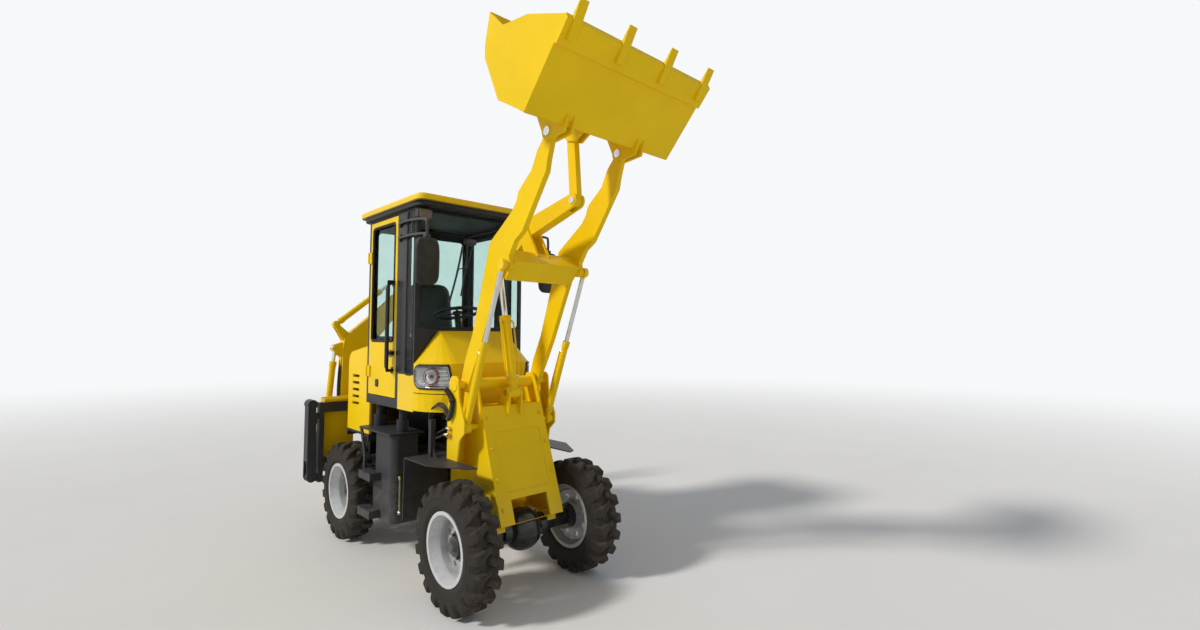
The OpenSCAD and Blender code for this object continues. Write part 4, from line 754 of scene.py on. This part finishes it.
def foam(name, shape, cap):
    """A pad blown up from a plain form: remeshed evenly, swollen by cloth under pressure, no point moved past cap."""
    pad = piece(name, [shape], "chassis", vinyl, 70)
    remesh = pad.modifiers.new("even", "REMESH")
    remesh.mode = "VOXEL"
    remesh.voxel_size = 0.010
    pad.data = bpy.data.meshes.new_from_object(pad.evaluated_get(bpy.context.evaluated_depsgraph_get()))
    pad.modifiers.clear()
    before = np.zeros(len(pad.data.vertices) * 3)
    pad.data.vertices.foreach_get("co", before)
    cloth = pad.modifiers.new("foam", "CLOTH")
    cloth.settings.use_pressure = True
    cloth.settings.uniform_pressure_force = 4
    cloth.settings.effector_weights.gravity = 0
    for moment in range(1, 15):
        bpy.context.scene.frame_set(moment)
    swollen = bpy.data.meshes.new_from_object(pad.evaluated_get(bpy.context.evaluated_depsgraph_get()))
    after = np.zeros(len(swollen.vertices) * 3)
    swollen.vertices.foreach_get("co", after)
    pad.modifiers.clear()
    moved = (after - before).reshape(-1, 3)
    far = np.maximum(np.linalg.norm(moved, axis=1), 1e-9)
    moved *= np.minimum(1, cap / far)[:, None]
    pad.data.vertices.foreach_set("co", before + moved.ravel())
    bpy.context.scene.frame_set(1)
    smooth = pad.modifiers.new("smooth", "SMOOTH")
    smooth.iterations = 3
    pad.data.polygons.foreach_set("use_smooth", np.ones(len(pad.data.polygons), bool))
    pad.data.materials.clear()
    pad.data.materials.append(vinyl)
    return pad


seat_x = cab_back + 0.372
cushion = foam("seat_cushion", rounded_box((seat_x, 0, 1.602), (0.215, 0.218, 0.046), 5, 20, 40), 0.010)
back_pad = rounded_box((0, 0, 0), (0.044, 0.205, 0.275), 5, 26, 44)
lean = Matrix.Rotation(math.radians(-10), 4, "Y")
leaned = np.array([lean @ Vector(point) for point in back_pad[0]]) + (cab_back + 0.172, 0, 1.940)
backrest = foam("seat_backrest", (leaned, back_pad[1]), 0.010)
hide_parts("seat")
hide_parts("seat")
piece("seat_pan", [rounded_box((seat_x + 0.005, 0, 1.546), (0.222, 0.222, 0.014), 6, 14, 40),
                   rounded_box((seat_x - 0.045, 0, 1.375), (0.155, 0.145, 0.160), 9, 20, 40)],
      "chassis", lining_black)

# ---- Steering wheel
# The wheel and its column are black moulded plastic, matt from use.
coat(lining_black, "steering_wheel")

# ---- Hydraulic hoses
# Wire-braided rubber hose, stiff enough to stand in loops, with zinc-plated ends: two loops on each side of the tower,
# and beside them a ribbed sleeve in a clip that climbs towards the arms' pin.
hose_black, shader, wire = material("hose_rubber", Specular_IOR_Level=0.35)
wear(hose_black, shader, wire.noise(30, 4).over(0.3, 0.8).mix((0.012, 0.012, 0.012), (0.050, 0.046, 0.040)),
     wire.noise(45, 3) * 0.2 + 0.45, wire.noise(700, 2), 0.0004)
zinc, shader, wire = material("yellow_zinc", Metallic=1.0)
wear(zinc, shader, wire.noise(40, 3).over(0.3, 0.7).mix((0.60, 0.44, 0.18), (0.78, 0.66, 0.40)),
     wire.noise(90, 3) * 0.15 + 0.22)


def hose(name, knots, body, diameter=0.017):
    """A round hose of the given diameter swept through the knots, riding on the body."""
    made = piece(name, [tube(knots, diameter / 2, 14, 90)], body, hose_black)
    route = curve(knots, 90)
    return made


def union(centre, axis, radius=0.0115, length=0.038):
    """A hose end: a crimped ferrule behind a six-sided nut, both turned about the hose's own line."""
    nut = [(0.0005, 0), (radius * 1.15, 0), (radius * 1.25, 0.002), (radius * 1.25, 0.013),
           (radius * 1.1, 0.015), (0.0005, 0.015)]
    ferrule = [(0.0005, 0.014), (radius * 0.9, 0.014), (radius, 0.016), (radius, length - 0.002),
               (radius * 0.85, length), (0.0005, length)]
    return [turned(nut, centre, axis, 6), turned(ferrule, centre, axis, 20)]


for hand, sign in (("right", -1), ("left", 1)):
    for number, (drop, out_by) in enumerate(((0.0, 0.405), (0.042, 0.420))):
        foot = (front - 0.290, sign * out_by, 1.100 - drop)
        knots = [foot, (front - 0.335, sign * out_by, 1.098 - drop), (front - 0.425, sign * out_by, 1.062 - drop * 0.9),
                 (front - 0.510, sign * out_by, 1.040 - drop * 0.6), (front - 0.556, sign * out_by, 1.105),
                 (front - 0.535, sign * out_by, 1.200), (front - 0.455, sign * out_by, 1.258 - drop * 0.3),
                 (front - 0.365, sign * out_by, 1.252 - drop * 0.3), (front - 0.302, sign * out_by, 1.190)]
        hose(f"tower_hose_{number + 1}_{hand}", knots, "front_frame")
        piece(f"tower_union_{number + 1}_{hand}", union(foot, (-1, 0, 0)) + [
            turned([(0.0005, 0), (0.012, 0), (0.013, 0.002), (0.013, 0.024), (0.0005, 0.024)],
                   (foot[0], sign * 0.392, foot[2]), (0, sign, 0), 6)], "front_frame", zinc, 25)
    climb = curve([(front - 0.296, sign * 0.415, 1.165), (front - 0.252, sign * 0.415, 1.225),
                   (front - 0.250, sign * 0.413, 1.300), (front - 0.300, sign * 0.410, 1.345),
                   (front - 0.345, sign * 0.402, 1.362)], 241)
    ridges = 0.0165 + 0.0022 * np.cos(np.linspace(0, 2 * math.pi * 30, 241))
    piece(f"tower_sleeve_{hand}", [tube(climb[::40], ridges, 16, 241)], "front_frame", hose_black)
    piece(f"tower_clip_{hand}", [turned([(0.0190, -0.011), (0.0215, -0.010), (0.0215, 0.010), (0.0190, 0.011),
                                         (0.0190, -0.011)],
                                        climb[120], climb[123] - climb[117], 24)],
          "front_frame", chassis_grey)


# ---- Steel pipes on the cylinders
# Bent steel pipe, 13 mm, painted with the barrel it runs along, from a port near the foot to one nearer the gland, with
# a zinc-plated union at each end.
def pipe_along(name, body, foot, head, side, start, stop, stand, finish, width=0.0065):
    """A pipe that leaves the barrel at start, runs beside it at the distance stand, and goes back in at stop, both
    measured from the foot pin along the barrel; side is the direction it stands off in."""
    foot, head, side = (np.array(point, float) for point in (foot, head, side))
    along = (head - foot) / np.linalg.norm(head - foot)
    side = side - along * (side @ along)
    side /= np.linalg.norm(side)
    low, high = foot + along * start, foot + along * stop
    bend = 0.022
    knots = [low + side * (stand - 0.021), low + side * (stand - 0.010),
             low + along * bend * 0.4 + side * (stand - 0.002),
             low + along * bend + side * stand,
             *(low + (high - low) * share + side * stand for share in (0.25, 0.5, 0.75)),
             high - along * bend + side * stand, high - along * bend * 0.4 + side * (stand - 0.002),
             high + side * (stand - 0.010), high + side * (stand - 0.021)]
    piece(name, [tube(knots, width, 12, 120)], body, finish)
    ends = []
    for port in (low, high):
        ends += union(port + side * (stand - 0.022), side, 0.0095, 0.020)
    piece(f"{name}_unions", ends, body, zinc, 25)


for hand, sign in (("right", -1), ("left", 1)):
    pipe_along(f"lift_pipe_{hand}", "lift_barrels", (front - 0.164, sign * 0.350, 1.117),
               (front + 0.249, sign * 0.350, 2.202),
               (-1, 0, 0.38), 0.085, 0.535, 0.045, yellow)
    pipe_along(f"tilt_pipe_{hand}", "tilt_barrel", (front - 0.120, 0, 1.340), (front - 0.304, 0, 2.223),
               (0.35, sign, 0.07), 0.110, 0.520, 0.060, yellow)

# ---- Bolts on the tower
# Hex heads over plain washers, painted over with the plate, down both edges of the front plate.
plate_foot = np.array((front + 0.143, 0, 0.497))
plate_head = np.array((front - 0.127, 0, 1.252))
up_plate = (plate_head - plate_foot) / np.linalg.norm(plate_head - plate_foot)
off_plate = np.array((up_plate[2], 0, -up_plate[0]))
heads = []
for across in (-0.225, 0.225):
    for reach in (0.10, 0.30, 0.51, 0.72):
        centre = plate_foot + up_plate * reach + np.array((0, across, 0))
        heads.append(turned([(0.0005, 0), (0.0150, 0), (0.0150, 0.0022), (0.0140, 0.0028), (0.0005, 0.0028)],
                            centre, off_plate, 24))
        heads.append(turned([(0.0005, 0.0024), (0.0105, 0.0024), (0.0108, 0.0030), (0.0108, 0.0090),
                             (0.0092, 0.0104), (0.0005, 0.0106)],
                            centre, off_plate, 6))
piece("tower_bolts", heads, "front_frame", yellow, 25)

# ---- Fuel gauge
# A clear sight tube between two brass elbows on the front of the right tank.
gauge_x, gauge_y = front - 0.9715 + 0.014, -0.450
clear_tube, shader, wire = material("gauge_tube", Transmission_Weight=0.8, IOR=1.35)
wear(clear_tube, shader, wire.noise(12).over(0.2, 0.8).mix((0.80, 0.72, 0.45), (0.88, 0.84, 0.62)),
     wire.noise(30, 2) * 0.06 + 0.06)
piece("fuel_gauge_tube", [tube([(gauge_x, gauge_y, z) for z in np.linspace(0.395, 0.645, 6)], 0.006, 14, 30)],
      "chassis", clear_tube)
elbows = []
for z, way in ((0.385, 1), (0.655, -1)):
    elbows.append(turned([(0.0005, 0), (0.010, 0), (0.011, 0.002), (0.011, 0.016), (0.0085, 0.020),
                          (0.0085, 0.026), (0.0005, 0.026)],
                         (gauge_x, gauge_y, z - way * 0.008), (0, 0, way), 6))
    elbows.append(turned([(0.0005, 0), (0.008, 0), (0.008, 0.016), (0.0005, 0.016)], (gauge_x, gauge_y, z),
                         (-1, 0, 0), 16))
piece("fuel_gauge_elbows", elbows, "chassis", zinc, 25)

# ---- Backhoe hoses
# Two hoses laid along the boom's back, which end on it short of the dipper.
hoe_x = front - 2.5705
for number, beside in enumerate((-0.022, 0.022)):
    hoe_line = [(0.075, 1.000), (0.068, 1.200), (0.078, 1.420), (0.112, 1.590), (0.215, 1.740), (0.310, 1.845),
                (0.375, 1.888)]
    hose(f"boom_hose_{number + 1}", [(hoe_x + beside, -0.430 + reach, z) for reach, z in hoe_line], "boom", 0.016)
